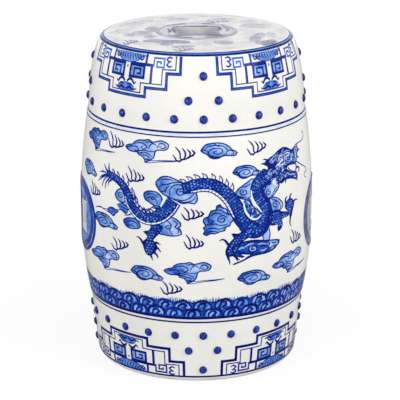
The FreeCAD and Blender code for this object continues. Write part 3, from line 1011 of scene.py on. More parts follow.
bm = bmesh.new()
for box in (
    (-4, 319, 45, 339.5), (-209, 272, -166, 292), (-168, 209, -120, 229), (-100, 148, -54, 168),
    (45, 141, 95, 161), (38, 290, 79, 307),
):
    oval_cloud(bm, *box)
for left, low, width, height, load in (
    (-202, 311, 56, 29, 0.56), (-111, 311.5, 64, 29.5, 0.4), (-182, 150, 63, 30, 0.46),
    (-52, 149, 61, 30, 0.5), (98, 144, 63, 30, 0.42),
):
    tailed_cloud(bm, left, low, width, height, load)
outlined(
    bm,
    [
        (-63, 284), (-61, 289), (-55, 294), (-47, 295), (-40, 293), (-33, 290), (-22, 285), (-14, 279),
        (-9, 271), (-9, 264), (-13, 260), (-20, 261), (-28, 260), (-37, 264), (-46, 268), (-53, 271),
        (-59, 277)
    ],
    0.44, curl((-30, 274.5), 7.5, 1.5, 0.2),
    [(-59, 280), (-53, 284), (-47, 284.5), (-41, 287), (-32, 288), (-24, 286), (-17, 281)],
    [(-50, 273), (-49, 279), (-45, 283)],
    [(-44, 269), (-44, 277), (-40, 283), (-31, 285), (-23, 282), (-18, 276)],
    [(-39, 266.5), (-31, 264), (-23, 265), (-17, 269), (-13, 274)],
    [(-33, 263), (-24, 261.5), (-15, 264), (-11, 268)], [(-57, 274), (-50, 276)],
    [(-55, 290), (-48, 291.5), (-40, 290)],
)
outlined(
    bm,
    [
        (-79, 270), (-74, 273), (-66, 273.5), (-60, 272), (-55, 267), (-54, 261), (-57, 254), (-61, 251),
        (-66, 255), (-71, 258), (-77, 261), (-79, 265)
    ],
    0.58, [(-76, 263), (-70, 266), (-63, 263), (-60, 257)], [(-75, 268), (-67, 270), (-60, 266)],
    curl((-66, 264), 4, 1.2),
)
outlined(
    bm,
    [
        (-1, 235), (0, 240), (5, 242), (7, 246), (9, 250), (15, 251), (16, 256), (20, 258), (23, 254),
        (29, 251), (31, 245), (36, 242), (38, 236), (34, 232), (33, 228), (28, 227), (26, 222), (20, 221),
        (14, 218.5), (8, 219), (3, 216.5), (-1, 219), (1, 223), (-1, 227), (2, 230)
    ],
    0.5, curl((23, 237.5), 7.5, 1.5, 0.4), curl((9, 236), 5, 1.2, 2.0),
    [(0, 232), (7, 231), (15, 232), (20, 229.5), (30, 231)],
    [(2, 224), (10, 226.5), (18, 224.5), (26, 226)], [(2, 219.5), (9, 222), (17, 221)],
    [(8, 243), (14, 246.5), (22, 245)], [(14, 250), (20, 251), (26, 247), (32, 243)],
    [(17, 254), (21, 255), (25, 251)],
)
outlined(
    bm,
    [
        (-60, 236), (-50, 240), (-42, 240.5), (-35, 238), (-30, 233), (-30, 229), (-33, 227), (-30, 224),
        (-29, 218), (-33, 216), (-42, 215), (-52, 216), (-60, 219)
    ],
    0.44,
    [(-40, 237), (-34, 232), (-37, 228), (-32, 223), (-34, 218)],
    [(-48, 236), (-42, 230), (-44, 222), (-40, 217)], curl((-46, 226), 4.5, 1.2),
)
outlined(
    bm,
    [
        (-110, 227), (-106, 231), (-98, 233), (-90, 232), (-86, 228), (-84, 223), (-88, 220), (-96, 218.5),
        (-105, 220)
    ],
    0.6, [(-106, 225), (-99, 229), (-90, 227), (-88, 222)], [(-104, 222), (-97, 223), (-92, 221)],
)
outlined(
    bm,
    [
        (-125, 260), (-122, 266), (-116, 269.5), (-110, 268), (-106, 261), (-106, 255), (-110, 252),
        (-116, 252), (-122, 255)
    ],
    0.46, curl((-115, 260.5), 5.5, 1.4, 0.6),
)
outlined(
    bm,
    [
        (41, 270), (44, 276), (50, 280), (57, 284), (66, 288), (68, 280), (64, 271), (61, 264), (54, 262),
        (46, 265)
    ],
    0.42, curl((53, 271.5), 6.5, 1.4, 2.0), [(50, 279), (57, 279), (62, 282)],
    [(44, 268), (50, 265), (57, 265)],
)
outlined(
    bm,
    [
        (89, 254), (96, 258), (103, 256), (109, 252), (114, 247), (114, 241), (108, 238), (100, 239),
        (92, 240)
    ],
    0.38, curl((101, 247), 6, 1.4, 0.8), [(95, 255), (103, 252), (109, 246), (110, 240)],
)
outlined(
    bm,
    [(81, 262), (83, 270), (87, 277), (94, 281), (103, 278), (108, 271), (102, 264), (95, 259), (86, 258)],
    0.4, curl((90, 266), 5.5, 1.3, 1.2), [(96, 262), (101, 268), (106, 271)],
)
show_again(bm)
finish_paint(bm, "clouds", paint=cobalt_wash)

bm = bmesh.new()
for left, low, width, height, tilt in (
    (-145, 323, 30, 20, -.12), (-41, 315, 29, 19, .1), (59, 320, 30, 19, .02), (-182, 250, 26, 18, -.16),
    (-132, 182, 29, 18, .12), (-58, 131.5, 29, 19, -.02), (130, 186.5, 26, 19, -.26),
    (-29, 238, 28, 17, .0), (-26, 199.5, 25, 19, -.14), (-108, 283.5, 28, 19, -.12),
):
    flame(bm, left, low, width, height, tilt)
show_again(bm)
finish_paint(bm, "flames")

# Dragon.
# The main figure, painted freehand with a full brush: a long scaled body that loops behind the clouds,
# a crest of pale fins, a ribbed belly, clawed feet, and a maned head with whiskers at the right.


def beside(line, across, offsets):
    # a line that runs along another, each place set off to its side
    return [(p[0] + a[0] * o, p[1] + a[1] * o) for p, a, o in zip(line, across, offsets)]


def dragon_body(bm, path, widths, fins, belly, white=2.6):
    # the body from tail to head: fins stand on its left side, the pale belly runs on its right, each
    # from one share of its length to another
    line = smooth_line(path, 2.0)
    across = mitres(line, False)
    last = len(line) - 1
    half = [width_at(widths, i / last) / 2 for i in range(last + 1)]
    level = next_lift(0.18)
    ribbon(bm, line, widths, (level,) * 5, 0.9)
    for way in (-1, 1):
        stroke(bm, beside(line, across, [h * way for h in half])[::2], (1.0, 1.6, 1.6, 1.0), 1.0, 0.28)
    first, end = (round(last * share) for share in belly)
    strip = beside(line, across, [-0.8 * h for h in half])[first:end:2]
    if len(strip) > 2:
        stroke(bm, strip, (1.2, white, white, 1.2), 0.04, 0.28)
    for i in range(2, last - 1):
        p, a, h = line[i], across[i], half[i]
        ahead = (a[1], -a[0])

        def spot(along, out):
            return p[0] + a[0] * out + ahead[0] * along, p[1] + a[1] * out + ahead[1] * along

        rows = max(2, round(1.5 * h / 3.9))
        for row in range(rows if i % 2 == 0 else 0):
            out = h * (0.8 - 1.38 * (row + (0.5 if i % 4 else 0.0)) / rows)
            there = (line[i + 1][0] + across[i + 1][0] * out, line[i + 1][1] + across[i + 1][1] * out)
            if math.dist(spot(0, out), there) > 1.2:
                # a scale: a short pale bow, open towards the tail
                level = next_lift(0.24)
                bow = [spot(-0.8, out + 1.4), spot(1.0, out), spot(-0.8, out - 1.4)]
                ribbon(bm, bow, (0.7, 1.7, 0.7), (level, level), painter.uniform(0.5, 0.8))
        share = i / last
        if i % 4 == 0 and fins[0] <= share <= fins[1]:
            # a fin: a swept back blade left white, between two dark lines
            size = 0.42 + 0.062 * h
            blade = [
                spot(x * size, h + y * size)
                for x, y in ((0, 0), (-1.6, 3.4), (-4.6, 5.4), (-9.0, 7.0))
            ]
            stroke(bm, blade, (1.3, 1.5, 1.3, 0.6), 1.0, 0.26, pace=2.0)
            back = [spot(x * size, h + y * size) for x, y in ((-9.0, 7.0), (-6.4, 3.8), (-6.0, 0.8))]
            stroke(bm, back, (0.6, 1.0, 0.8), 0.9, 0.24, pace=2.0)
        if i % 3 == 0 and belly[0] <= share <= belly[1]:
            stroke(bm, [spot(0, -0.62 * h), spot(-1.0, -h)], (0.6, 1.0), 0.95, 0.32, pace=9)


def hair(bm, strokes, widths, load, lift=0.28):
    # several strokes with the same brush and load
    for line in strokes:
        stroke(bm, line, widths, load, lift, pace=2.6)


def within(point, outline):
    # whether a place lies inside a closed outline
    crossings = 0
    for (ua, za), (ub, zb) in zip(outline, outline[1:] + outline[:1]):
        if (za > point[1]) != (zb > point[1]) and point[0] < ua + (ub - ua) * (point[1] - za) / (zb - za):
            crossings += 1
    return crossings % 2 == 1


def flecks(bm, outline, count, way, pale, long=4.0):
    # short marks of the brush, dark and pale by chance, that fill a part along the way it grows
    us, zs = [u for u, z in outline], [z for u, z in outline]
    core = drawn_in(outline, 0.9)
    while count > 0:
        x, y = painter.uniform(min(us), max(us)), painter.uniform(min(zs), max(zs))
        if within((x, y), core):
            turn, reach = way + painter.uniform(-0.5, 0.5), long * painter.uniform(0.35, 0.6)
            dx, dy, bend = reach * math.cos(turn), reach * math.sin(turn), painter.uniform(-0.8, 0.8)
            load = painter.uniform(0.22, 0.5) if painter.random() < pale else 1.0
            mark = [(x - dx, y - dy), (x - dy * 0.2, y + bend), (x + dx, y + dy)]
            stroke(bm, mark, (0.6, 1.5, 0.6), load, 0.3, pace=3.0)
            count -= 1


def limb(bm, outline, load, scaled=True):
    # part of a leg: a dark wash with its contour, filled with small pale scale marks
    wash(bm, outline, load, 0.16)
    contour(bm, outline, 1.0, 1.5)
    us, zs = [u for u, z in outline], [z for u, z in outline]
    core = drawn_in(outline, 0.86)
    for i in range(int((max(us) - min(us)) / 3.9) + 1 if scaled else 0):
        for j in range(int((max(zs) - min(zs)) / 3.6) + 1):
            x, y = min(us) + 3.9 * (i + 0.5 * (j % 2)), min(zs) + 3.6 * j
            if within((x, y), core):
                lift = next_lift(0.24)
                bow = [(x - 1.4, y + 0.8), (x, y - 0.8), (x + 1.4, y + 0.8)]
                ribbon(bm, bow, (0.6, 1.5, 0.6), (lift, lift), painter.uniform(0.46, 0.74))


def claws(bm, *lines):
    # strokes that start broad and end in a point
    for line in lines:
        stroke(bm, line, (3.8, 3.2, 2.1, 0.6), 1.0, 0.28, pace=2.0)


bm = bmesh.new()
# the lower cloud that the forefeet rest on
under = [
    (37, 196), (45, 202), (58, 204), (70, 203.5), (82, 201), (94, 199), (101, 198), (108, 196), (107, 192),
    (103, 190), (99, 186), (92, 183.5), (82, 182.5), (68, 183.5), (56, 181), (46, 184), (39, 188)
]
wash(bm, under, 0.7, 0.1)
contour(bm, under, 1.0, 1.7)
wash(bm, [(88, 198), (97, 197.5), (106, 195), (105, 192), (99, 189.5), (96, 186.5), (90, 187)], 0.3, 0.14)
hair(
    bm,
    (
        curl((66, 192.5), 5.4, 1.1, 2.2), [(76, 188), (82, 187), (86, 189)],
        [(54, 196), (59, 199), (66, 200)], [(73, 197), (80, 197.5), (86, 195)],
        [(44, 193), (49, 196), (53, 195)]
    ),
    (1.4, 2.4, 1.4), 0.34, 0.2
)
hair(
    bm,
    (
        curl((66, 192.5), 8.0, 1.5, 2.5), [(50, 199), (62, 202), (76, 200), (88, 196)],
        [(88, 199), (91, 195), (89, 190), (94, 187)], [(76, 193), (82, 194), (88, 192)],
        [(46, 190), (52, 188), (58, 186), (66, 186)], [(84, 185), (90, 187), (96, 190), (102, 191)],
        [(94, 196), (99, 194), (103, 195)]
    ),
    (1.2, 2.2, 1.8, 1.0), 1.0, 0.26
)
stroke(
    bm,
    [(38, 173.5), (50, 177), (64, 182), (82, 182.8), (98, 185), (106, 192)],
    (2.2, 2.4, 1.6, 1.4), 1.0
)
wash(bm, [(82, 201), (80, 207), (83, 215), (91, 214), (91, 206), (90, 201)], 0.26, 0.12)
hair(bm, ([(90.5, 200), (91.5, 208), (90, 216)], [(81, 202), (80, 208), (82, 214)]), (1.2, 1.8, 1.2), 0.95)
hair(
    bm,
    (
        [(44, 189), (48, 185), (52, 182)], [(50, 192), (54, 187), (60, 185)],
        [(42, 186), (44, 181), (47, 179)]
    ),
    (1.4, 2.6, 0.8), 0.98
)
hair(
    bm,
    ([(47, 180), (53, 181), (58, 184)], [(50, 186), (56, 184), (61, 184)]),
    (1.2, 2.4, 0.8), 0.02, 0.32
)
# hind leg
limb(
    bm,
    [
        (-68, 231), (-54, 227), (-57, 219), (-63, 212), (-67, 207), (-72, 204), (-76, 206), (-73, 211),
        (-75, 214), (-79, 217), (-73, 218.5), (-69, 223)
    ],
    0.9
)
limb(
    bm,
    [
        (-77, 206), (-69, 207), (-63, 203), (-61, 197), (-64, 191), (-68, 187), (-73, 185), (-77, 189),
        (-79, 195), (-80, 201)
    ],
    0.92
)
claws(
    bm, [(-79, 199), (-83, 205), (-87, 208.5), (-90, 208)],
    [(-71, 188), (-69, 184), (-68, 181), (-67, 178.5)], [(-66, 191), (-62, 187.5), (-60, 184), (-60, 182)],
    [(-64, 197), (-60, 196.5), (-57, 193), (-56, 191)], [(-65, 203), (-61, 204), (-58, 202.5), (-56, 202)]
)
# far hind leg with its feathers, at the left
limb(bm, [(-139, 236), (-132, 241), (-125, 240), (-119, 238), (-124, 234), (-127, 230), (-133, 232)], 0.62)
stroke(bm, [(-166, 233), (-156, 236), (-146, 235.5), (-138, 237)], (0.7, 2.0, 1.2, 0.8), 0.95)
stroke(bm, [(-148, 234.5), (-138, 233), (-127, 230.5)], (0.6, 1.0, 1.4), 0.8)
wash(
    bm,
    [
        (-121, 246), (-117, 250), (-110, 250), (-104, 247), (-103, 240), (-106, 236), (-112, 239),
        (-117, 242)
    ],
    0.5
)
hair(
    bm,
    (
        [(-104, 238), (-112, 241), (-122, 240)], [(-102, 243), (-112, 245), (-122, 247.5)],
        [(-104, 247), (-110, 250), (-117, 251.5)], [(-98, 238), (-104, 235.5), (-109, 235)]
    ),
    (1.8, 1.6, 0.5), 0.92
)
# tail and hind body
tail = [
    (-143, 286), (-132, 284), (-121, 280.5), (-111, 274), (-104, 264), (-100, 253), (-92, 243), (-80, 236),
    (-67, 236), (-55, 242), (-46, 252), (-39, 263)
]
dragon_body(bm, tail, (8, 9, 10, 11, 12, 13, 14, 16, 19, 21, 20), (0.08, 0.86), (0.36, 1.0), 2.0)
hair(
    bm,
    (
        [(-138, 288), (-144, 290), (-149, 297)], [(-136, 288), (-139, 293), (-139, 300)],
        [(-140, 286), (-149, 286), (-159, 284)], [(-140, 284), (-150, 279), (-161, 271)],
        [(-138, 283), (-147, 276), (-152, 265)], [(-134, 282), (-143, 273), (-145, 263)],
        [(-130, 280), (-138, 274), (-139, 268)], [(-142, 284), (-152, 280), (-158, 276)]
    ),
    (2.8, 2.4, 0.6), 0.86
)
hair(
    bm,
    ([(-142, 286), (-150, 287), (-154, 289)], [(-138, 281), (-144, 278), (-149, 271)]),
    (1.2, 1.6, 0.5), 0.4
)
hair(
    bm,
    (
        [(-96, 268), (-96, 262), (-92, 257)], [(-95, 272), (-93, 266), (-88, 258), (-88, 252)],
        [(-86, 246), (-85, 252), (-80, 246), (-79, 250), (-75, 244), (-73, 249), (-69, 244)]
    ),
    (1.0, 1.8, 0.7), 0.85
)
stroke(bm, [(-48.5, 268), (-52, 262), (-56, 254)], (2.6, 3.4, 1.8), 0.0, 0.34)
# the arched middle, its turn below, and the neck
arch = [
    (-28, 279), (-16, 282.5), (-2, 285), (12, 283), (25, 274.5), (35, 263), (42, 250.5), (49, 238),
    (58, 227)
]
dragon_body(bm, arch, (13, 17, 17, 17.5, 18, 18.5, 19.5, 22, 23), (0.04, 0.62), (0.08, 0.86))
for x, y, width in ((-18, 291, 9), (-28, 287, 8), (-6, 293, 9)):
    stroke(
        bm,
        [(x - 3, y - 4), (x, y), (x + width * 0.7, y + 1), (x + width, y - 3)],
        (0.8, 1.3, 0.8), 0.98
    )
neck = [
    (54, 230), (64, 219), (76, 219), (84, 230), (84, 244), (78, 256), (72, 268), (74, 279), (84, 286),
    (95, 286)
]
dragon_body(bm, neck, (22, 22, 21, 20, 20, 19, 19, 20, 21), (0.5, 0.5), (2, 2))
# the curled fin inside the loop
curled_fin = [
    (51, 258), (57, 263), (62, 260), (66, 251), (73, 243), (77, 236), (71, 231.5), (63, 232), (57, 238),
    (53, 247)
]
wash(bm, curled_fin, 0.62, 0.3)
hair(
    bm,
    (
        [(52, 258), (53.5, 248), (58, 240), (64, 234), (71, 233), (77, 237)],
        [(63, 273), (63.5, 264), (67, 256), (72, 249), (78, 241)]
    ),
    (1.4, 3.0, 2.8, 1.4), 0.0, 0.34
)
hair(
    bm,
    (
        [(57, 259), (60, 254), (58, 249)], [(63, 251), (66, 246), (62, 242)],
        [(69, 246), (73, 241), (70, 238)], [(61, 237), (66, 238)]
    ),
    (1.2, 2.6, 1.0), 0.24, 0.34
)
hair(
    bm,
    (
        curl((66, 244), 5.2, 1.3, 1.0), curl((58.5, 253), 3.6, 1.1, 2.4), curl((71, 237.5), 3.4, 1.1, 3.0),
        [(56, 246), (60, 243), (61, 237)], [(61, 262), (62, 256), (66, 250), (72, 244), (76, 239)],
        [(50.5, 252), (53, 243), (58, 235), (65, 230.5), (74, 231)]
    ),
    (1.2, 2.0, 1.2), 1.0, 0.36
)
# lower foreleg
limb(
    bm,
    [
        (64, 223), (52, 219.5), (45, 215.5), (36, 216.5), (39, 211), (34, 205), (30, 199), (28, 192),
        (30, 186), (37, 186), (43, 190), (45, 197), (48, 203), (56, 208), (66, 213)
    ],
    0.94
)
claws(
    bm, [(31, 202), (28, 207), (24, 210), (19, 208.5)], [(30, 190), (31, 184), (33, 179), (33.5, 174)],
    [(37, 188), (41, 184), (43, 180), (44, 177)], [(43, 193), (49, 188), (54, 186), (57, 187)]
)
# right foreleg, paw and spur
limb(
    bm,
    [
        (88, 235), (97, 239), (106, 237.5), (114, 234), (122, 232), (127, 229), (124, 226), (116, 226),
        (112, 223), (113.5, 217), (111, 212), (106, 209.5), (105, 214), (106, 219), (99, 219), (92, 221),
        (89, 226)
    ],
    0.88
)
limb(
    bm,
    [
        (119, 240), (123, 247), (130, 248.5), (136, 245), (138, 239), (135, 233), (132, 224), (129, 224),
        (126, 231)
    ],
    0.84
)
claws(
    bm, [(121, 243), (119.5, 248), (121, 252), (124, 253)],
    [(129, 246), (129, 251), (131, 254), (134, 255)], [(135, 240), (139, 243.5), (143, 244.5), (147, 243)],
    [(130, 228), (129.5, 221), (129, 214), (132, 209.5)]
)
# head: the mane swept back, the brow, snout and open jaws
mane = [
    (84, 305), (92, 310), (100, 313), (108, 317), (115, 319.5), (124, 320), (134, 315.5), (142, 311),
    (143, 304), (137, 298), (129, 295), (124, 291), (130, 286), (131, 281), (122, 277.5), (113, 274),
    (108, 277), (103, 282), (94, 280), (84, 284), (78, 290), (86, 293), (91, 297), (89, 302)
]
limb(bm, mane, 0.86, False)
limb(
    bm,
    [
        (124, 289), (131, 284.5), (139, 284), (146, 282), (149, 277), (147, 271.5), (141, 274),
        (132, 276.5), (120, 279)
    ],
    0.74, False
)
flecks(
    bm,
    [
        (80, 289), (92, 299), (104, 299), (116, 296), (128, 296), (124, 290), (130, 284), (122, 278),
        (110, 275), (94, 281)
    ],
    150, 0.45, 0.42
)
flecks(
    bm,
    [(86, 304), (96, 311), (112, 318), (124, 319), (118, 313), (106, 307), (98, 300), (90, 300)],
    36, 0.5, 0.5, 6.0
)
snout = [
    (134, 309), (142, 312), (147, 316), (153, 314), (156, 310), (152, 306), (151, 301), (148, 296),
    (141, 295.5), (135, 298)
]
wash(bm, snout, 0.4, 0.2)
contour(bm, snout, 0.9, 1.3)
wash(
    bm,
    [
        (120, 297), (119, 304), (118, 311), (124, 316), (133, 314), (141, 310), (142, 304), (137, 300),
        (129, 297)
    ],
    0.36, 0.22
)
wash(
    bm,
    [
        (102, 295), (106, 301), (108, 306), (112, 311), (119, 311.5), (121, 306), (119, 302), (121, 298),
        (114, 297), (108, 294)
    ],
    0.02, 0.22
)
hair(
    bm,
    (
        [(101, 300), (108, 302), (114, 306), (118, 311)], [(104, 296), (112, 298.5), (120, 303)],
        [(107, 309), (109, 305), (104, 300)], [(110, 308), (115, 309), (119, 306)],
        [(112, 300), (116, 302), (121, 301)]
    ),
    (0.8, 1.7, 0.8), 0.98, 0.3
)
hair(
    bm,
    ([(106, 303), (110, 306), (115, 307)], [(109, 297), (114, 299), (118, 300)], [(103, 298), (107, 299)]),
    (0.8, 1.6, 0.8), 0.4, 0.31
)
hair(
    bm,
    (
        curl((131.5, 304.5), 5.6, 1.5, 0.5), [(120, 312), (128, 313.5), (136, 311), (142, 308)],
        [(120, 298), (119, 304), (120, 311)], [(122, 309), (126, 310), (131, 310.5)],
        [(122, 304), (125, 301), (130, 299)], [(134, 312), (139, 313), (144, 316)],
        [(137, 305), (140, 302), (141, 298)], [(122, 300), (128, 296.5), (137, 297.5), (147, 294)],
        [(143, 313), (145, 309), (144, 304), (146, 299)], [(149, 313), (149, 308), (148, 303)]
    ),
    (0.9, 1.8, 1.0), 1.0, 0.3
)
stroke(bm, [(130.6, 305.2), (132.4, 304.2)], 2.4, 1.0, 0.36)
hair(
    bm,
    (
        [(125, 307), (128, 308.5), (132, 308.5)], [(134, 300.5), (138, 303)],
        [(124, 312), (129, 312), (134, 310)], [(147, 311), (147, 306), (147, 301)]
    ),
    (0.8, 1.8, 0.8), 0.06, 0.32
)
hair(
    bm,
    (
        [(84, 305), (92, 310), (104, 314.5), (116, 319.5), (126, 319), (136, 314), (142, 311)],
        [(86, 303), (96, 303.5), (104, 301)], [(90, 299), (98, 297), (104, 295)]
    ),
    (1.4, 2.4, 1.8), 1.0, 0.3
)
hair(
    bm,
    (
        [(152, 314), (154, 317), (154, 319)], [(152, 309), (157, 310), (161, 309)],
        [(150, 301), (154, 301), (155, 298)]
    ),
    (2.2, 2.0, 0.6), 0.86
)
hair(
    bm,
    (
        [(144, 297), (147, 291), (147, 285)], [(129, 295), (136, 295), (146, 293.5)],
        [(128, 292), (132, 287), (139, 284.5)]
    ),
    (1.6, 2.2, 0.9), 0.98
)
hair(
    bm,
    ([(128, 282), (136, 281), (144, 279)], [(124, 285), (130, 282.5)], [(140, 277), (145, 275.5)]),
    (0.9, 2.0, 0.8), 0.3, 0.3
)
hair(
    bm,
    (
        [(145, 284), (149, 288), (154, 286), (154, 282), (150, 281)],
        [(146, 276), (148, 272), (148, 269)], [(122, 279), (122, 275), (120, 272)],
        [(86, 304), (82, 306), (79, 305)], [(90, 309), (86, 311), (83, 311)],
        [(86, 297), (82, 298), (79, 296)]
    ),
    (2.6, 2.4, 0.6), 0.95
)
wash(bm, [(96, 280), (100, 281.5), (104, 277), (102, 273.5), (98, 275)], 0.0, 0.32)
stroke(bm, [(104, 281), (108, 276), (107, 269), (101, 265)], (1.2, 2.0, 0.9), 1.0, 0.34)
# whiskers
for line, widths in (
    (
        [
            (140, 311), (145, 314), (149, 318), (158, 319), (168, 319.5), (175, 321), (178, 325),
            (177, 330), (173, 331)
        ],
        (1.8, 1.4, 1.2, 1.0, 0.7)
    ),
    (
        [
            (148, 296), (155, 292), (164, 287), (172, 283), (178, 279), (178, 275), (172, 274), (171, 269),
            (178, 266.5)
        ],
        (1.8, 1.4, 1.2, 1.0, 0.7)
    ),
):
    stroke(bm, line, widths, 0.9)
show_again(bm)
finish_paint(bm, "dragon")

# Seat painting.
# The seat has the same clouds and flames, in a thin pale wash with soft contours, and dark strokes at
# the coin's hole, greyed as painted glare. It is brushed on freehand and lies under the same glaze.

SEAT_CLOUDS = (
    (
        [
            (-104, 34), (-98, 48), (-90, 58), (-80, 70), (-68, 80), (-56, 78), (-58, 66), (-66, 56),
            (-74, 44), (-84, 36), (-94, 28)
        ],
        0.3
    ),
    ([(-70, 12), (-66, 24), (-60, 32), (-52, 28), (-49, 14), (-51, 2), (-56, -6), (-63, -2)], 0.46),
    ([(-84, -2), (-74, 2), (-64, -4), (-60, -14), (-64, -24), (-76, -25), (-86, -18), (-88, -8)], 0.42),
    ([(-98, -10), (-91, -14), (-85, -24), (-88, -33), (-96, -30), (-100, -20)], 0.34),
    ([(-70, -30), (-62, -28), (-56, -36), (-60, -45), (-68, -44), (-73, -38)], 0.4),
    (
        [
            (-74, -56), (-62, -52), (-50, -54), (-38, -58), (-26, -60), (-14, -66), (-13, -76), (-22, -80),
            (-34, -78), (-38, -86), (-46, -90), (-52, -84), (-54, -74), (-64, -68), (-74, -66)
        ],
        0.6
    ),
    ([(-38, -96), (-28, -92), (-16, -94), (-8, -99), (-14, -104), (-28, -104), (-37, -103)], 0.44),
    (
        [(0, -52), (10, -50), (22, -52), (34, -49), (44, -52), (42, -58), (30, -60), (16, -61), (4, -60)],
        0.3
    ),
    ([(20, -66), (30, -64), (41, -68), (44, -78), (38, -88), (28, -90), (21, -84), (18, -75)], 0.44),
    ([(-4, -80), (6, -79), (14, -84), (14, -92), (4, -94), (-5, -90)], 0.26),
    (
        [
            (66, -70), (68, -54), (72, -40), (78, -26), (86, -18), (91, -28), (88, -42), (82, -56),
            (78, -70), (72, -76)
        ],
        0.46
    ),
    ([(78, -74), (88, -68), (98, -62), (101, -70), (94, -80), (84, -90), (76, -90), (72, -82)], 0.48),
    ([(96, -14), (104, -22), (104, -40), (98, -54), (92, -48), (93, -30)], 0.26),
    ([(60, 22), (66, 36), (76, 44), (88, 40), (96, 28), (94, 16), (84, 14), (72, 16)], 0.34),
    ([(70, 54), (80, 56), (88, 50), (86, 62), (76, 70), (66, 66)], 0.26),
    ([(-36, 74), (-28, 84), (-16, 86), (-6, 80), (-8, 72), (-20, 68)], 0.32),
    ([(-44, 92), (-28, 98), (-14, 96), (-20, 88), (-36, 86)], 0.24),
    ([(20, 76), (34, 84), (50, 82), (62, 74), (54, 70), (38, 72)], 0.34),
    ([(-6, 94), (10, 100), (28, 100), (44, 94), (26, 91), (8, 90)], 0.22),
    ([(-118, -4), (-110, 8), (-104, 20), (-100, 8), (-104, -6), (-110, -14)], 0.24),
)
# painted haze: a thin uneven grey over the whole seat, a painted glare that greys its top
seat_face = up_shoulder(454.8, SEAT_Z) + [(r, SEAT_Z) for r in (112, 104, 96, 88, 80, 73, 66, 60, 57)]
bm = painted_ring(seat_face, 0.1, 0.0, 0.03)
tone = bm.verts.layers.float["cobalt"]
for vert in bm.verts:
    turn, away = math.atan2(vert.co.y, vert.co.x), math.hypot(vert.co.x, vert.co.y) / MM
    vert[tone] = 0.13 + 0.07 * math.sin(5 * turn + away / 8) + 0.06 * math.sin(11 * turn - away / 5)
finish_piece(bm, "seat_painted_glare_haze", glare_grey_wash, "blue_wash_glaze")

bm = bmesh.new()
for outline, load in SEAT_CLOUDS:
    wash(bm, outline, load, 0.05, 5.0, pool=0.08 - 0.6 * load)
    contour(bm, drawn_in(outline, 0.95), load + 0.16, 1.2)
    wide, deep = (max(p[k] for p in outline) - min(p[k] for p in outline) for k in (0, 1))
    middle = tuple(sum(p[k] for p in outline) / len(outline) for k in (0, 1))
    stroke(bm, curl(middle, 0.24 * min(wide, deep), 1.4, load * 9), (0.8, 1.5, 1.2), load + 0.2, 0.2)
    for share in (0.5, 0.72):
        stroke(bm, drawn_in(outline, share)[: len(outline) // 2 + 1], (0.8, 1.3, 0.8), load + 0.14, 0.18)
for left, low, width, height, tilt in (
    (-37, -122, 26, 18, 0.0), (-102, -80, 20, 26, 0.3), (80, -94, 22, 14, 0.5), (16, 54, 32, 16, 0.0)
):
    flame(bm, left, low, width, height, tilt, 0.8)
finish_paint(bm, "seat_clouds", flat_top, 0.3, "blue_wash_glaze", glare_grey_wash)

bm = bmesh.new()
for line, widths in (
    ([(-15, 30.5), (-4, 29), (8, 29), (18, 30)], (2.6, 3.4, 3.0)),
    ([(12, -29.5), (22, -29), (33, -31)], (2.2, 3.4, 2.2)),
    ([(-31, 20), (-31, 10), (-29, 0), (-31, -8)], (2.0, 4.0, 1.6)),
    ([(-38, 12), (-36, 2), (-38, -8)], (1.4, 3.0, 1.2)), ([(31, 26), (33, 14), (31, 2)], (1.6, 3.4, 1.4)),
    ([(38, 30), (42, 18), (44, 6), (40, -4)], (1.2, 2.6, 1.0)),
    ([(-44, 30), (-30, 42), (-12, 48)], (1.0, 2.0, 1.0)), ([(10, 46), (26, 44), (40, 36)], (1.0, 2.4, 1.0)),
    ([(-40, -24), (-26, -38), (-8, -44)], (1.0, 1.8, 0.8)),
    ([(8, -42), (24, -40), (38, -30)], (1.0, 2.2, 1.0)),
):
    stroke(bm, line, [1.5 * width for width in widths], 1.0 if widths[1] > 2.9 else 0.7, 0.64)
finish_paint(bm, "seat_coin_strokes", flat_top, 0.4, "blue_wash_glaze", glare_grey_wash)

# Floor, backdrop, lamps and camera.
# A wide pale floor in a white room, broad soft studio lamps, and the camera where the picture was taken.

floor_mesh = bpy.data.meshes.new("floor")
bm = bmesh.new()
bmesh.ops.create_grid(bm, x_segments=1, y_segments=1, size=4.0)
bm.to_mesh(floor_mesh)
bm.free()
floor = bpy.data.objects.new("floor", floor_mesh)
bpy.context.scene.collection.objects.link(floor)
# the floor's own grey lights the stool from below; the camera sees it white, with the stool's soft shadow
floor_paint, tree, shader = new_material("white studio floor", {"Roughness": 0.9})
shader.inputs["Base Color"].default_value = linear("#B4B4B1")
away = add(
    tree, "VectorMath", {0: add(tree, "TexCoord").outputs["Object"]}, operation="LENGTH"
).outputs["Value"]
reach = {"Value": away, "From Min": 0.2, "From Max": 1.1, "To Min": 0.82, "To Max": 1.0}
share = add(tree, "MapRange", reach).outputs["Result"]
shaded = add(tree, "BsdfDiffuse", {"Color": linear("#FFFFFF")})
glow = add(tree, "Emission", {"Color": (1, 1, 1, 1), "Strength": 1.02})
white = add(tree, "MixShader", {0: share, 1: shaded.outputs["BSDF"], 2: glow.outputs["Emission"]})
seen = add(tree, "LightPath").outputs["Is Camera Ray"]
blend = add(tree, "MixShader", {0: seen, 1: shader.outputs["BSDF"], 2: white.outputs["Shader"]})
tree.links.new(blend.outputs["Shader"], tree.nodes["Material Output"].inputs["Surface"])
floor_mesh.materials.append(floor_paint)

world = bpy.data.worlds.new("studio")
bpy.context.scene.world = world
world.use_nodes = True
tree = world.node_tree
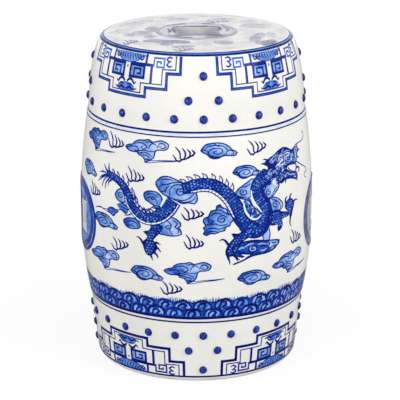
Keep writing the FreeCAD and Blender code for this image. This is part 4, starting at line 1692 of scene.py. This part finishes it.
# the camera and the glaze's reflections see white walls, and the light from them is dimmer
rays = add(tree, "LightPath").outputs
seen = add(
    tree, "Math", {0: rays["Is Camera Ray"], 1: rays["Is Glossy Ray"]}, operation="MAXIMUM"
).outputs["Value"]
seen = add(tree, "Math", {0: seen, 1: rays["Is Transmission Ray"]}, operation="MAXIMUM").outputs["Value"]
room = add(tree, "Background", {"Color": (1.0, 0.995, 0.985, 1), "Strength": 0.68})
white = add(tree, "Background", {"Color": (1, 1, 1, 1), "Strength": 1.0})
blend = add(tree, "MixShader", {0: seen, 1: room.outputs["Background"], 2: white.outputs["Background"]})
tree.links.new(blend.outputs["Shader"], tree.nodes["World Output"].inputs["Surface"])


STOOL_MIDDLE = Vector((0, 0, 0.24))


def lamp(name, place, width, height, watts):
    # a soft box that faces the stool's middle
    light = bpy.data.lights.new(name, "AREA")
    light.shape = "RECTANGLE"
    light.size, light.size_y, light.energy = width, height, watts
    holder = bpy.data.objects.new(name, light)
    holder.location = place
    holder.rotation_euler = (STOOL_MIDDLE - Vector(place)).to_track_quat("-Z", "Y").to_euler()
    bpy.context.scene.collection.objects.link(holder)


lamp("left_softbox", (-2.0, -1.9, 1.2), 1.0, 1.4, 30)
lamp("right_softbox", (2.0, -1.5, 1.1), 1.2, 1.6, 29)
lamp("top_softbox", (0.0, -0.2, 2.4), 1.6, 1.6, 2)

# the focal length and shift are in pixels of a picture 400 wide
PICTURE_WIDE, FILM_WIDE = 400, 36
camera = bpy.data.cameras.new("camera")
camera.sensor_width = FILM_WIDE
camera.lens = 1842.9 / PICTURE_WIDE * FILM_WIDE
camera.shift_x = 3.5 / PICTURE_WIDE
eye = bpy.data.objects.new("camera", camera)
EYE_AWAY, EYE_UP, EYE_TURN, EYE_DOWN = 2.4596, 0.974, math.radians(-3.6), math.radians(17.13)
eye.location = (EYE_AWAY * math.sin(EYE_TURN), -EYE_AWAY * math.cos(EYE_TURN), EYE_UP)
eye.rotation_euler = (math.pi / 2 - EYE_DOWN, 0, EYE_TURN)
bpy.context.scene.collection.objects.link(eye)
bpy.context.scene.camera = eye
bpy.context.scene.view_settings.view_transform = "Standard"
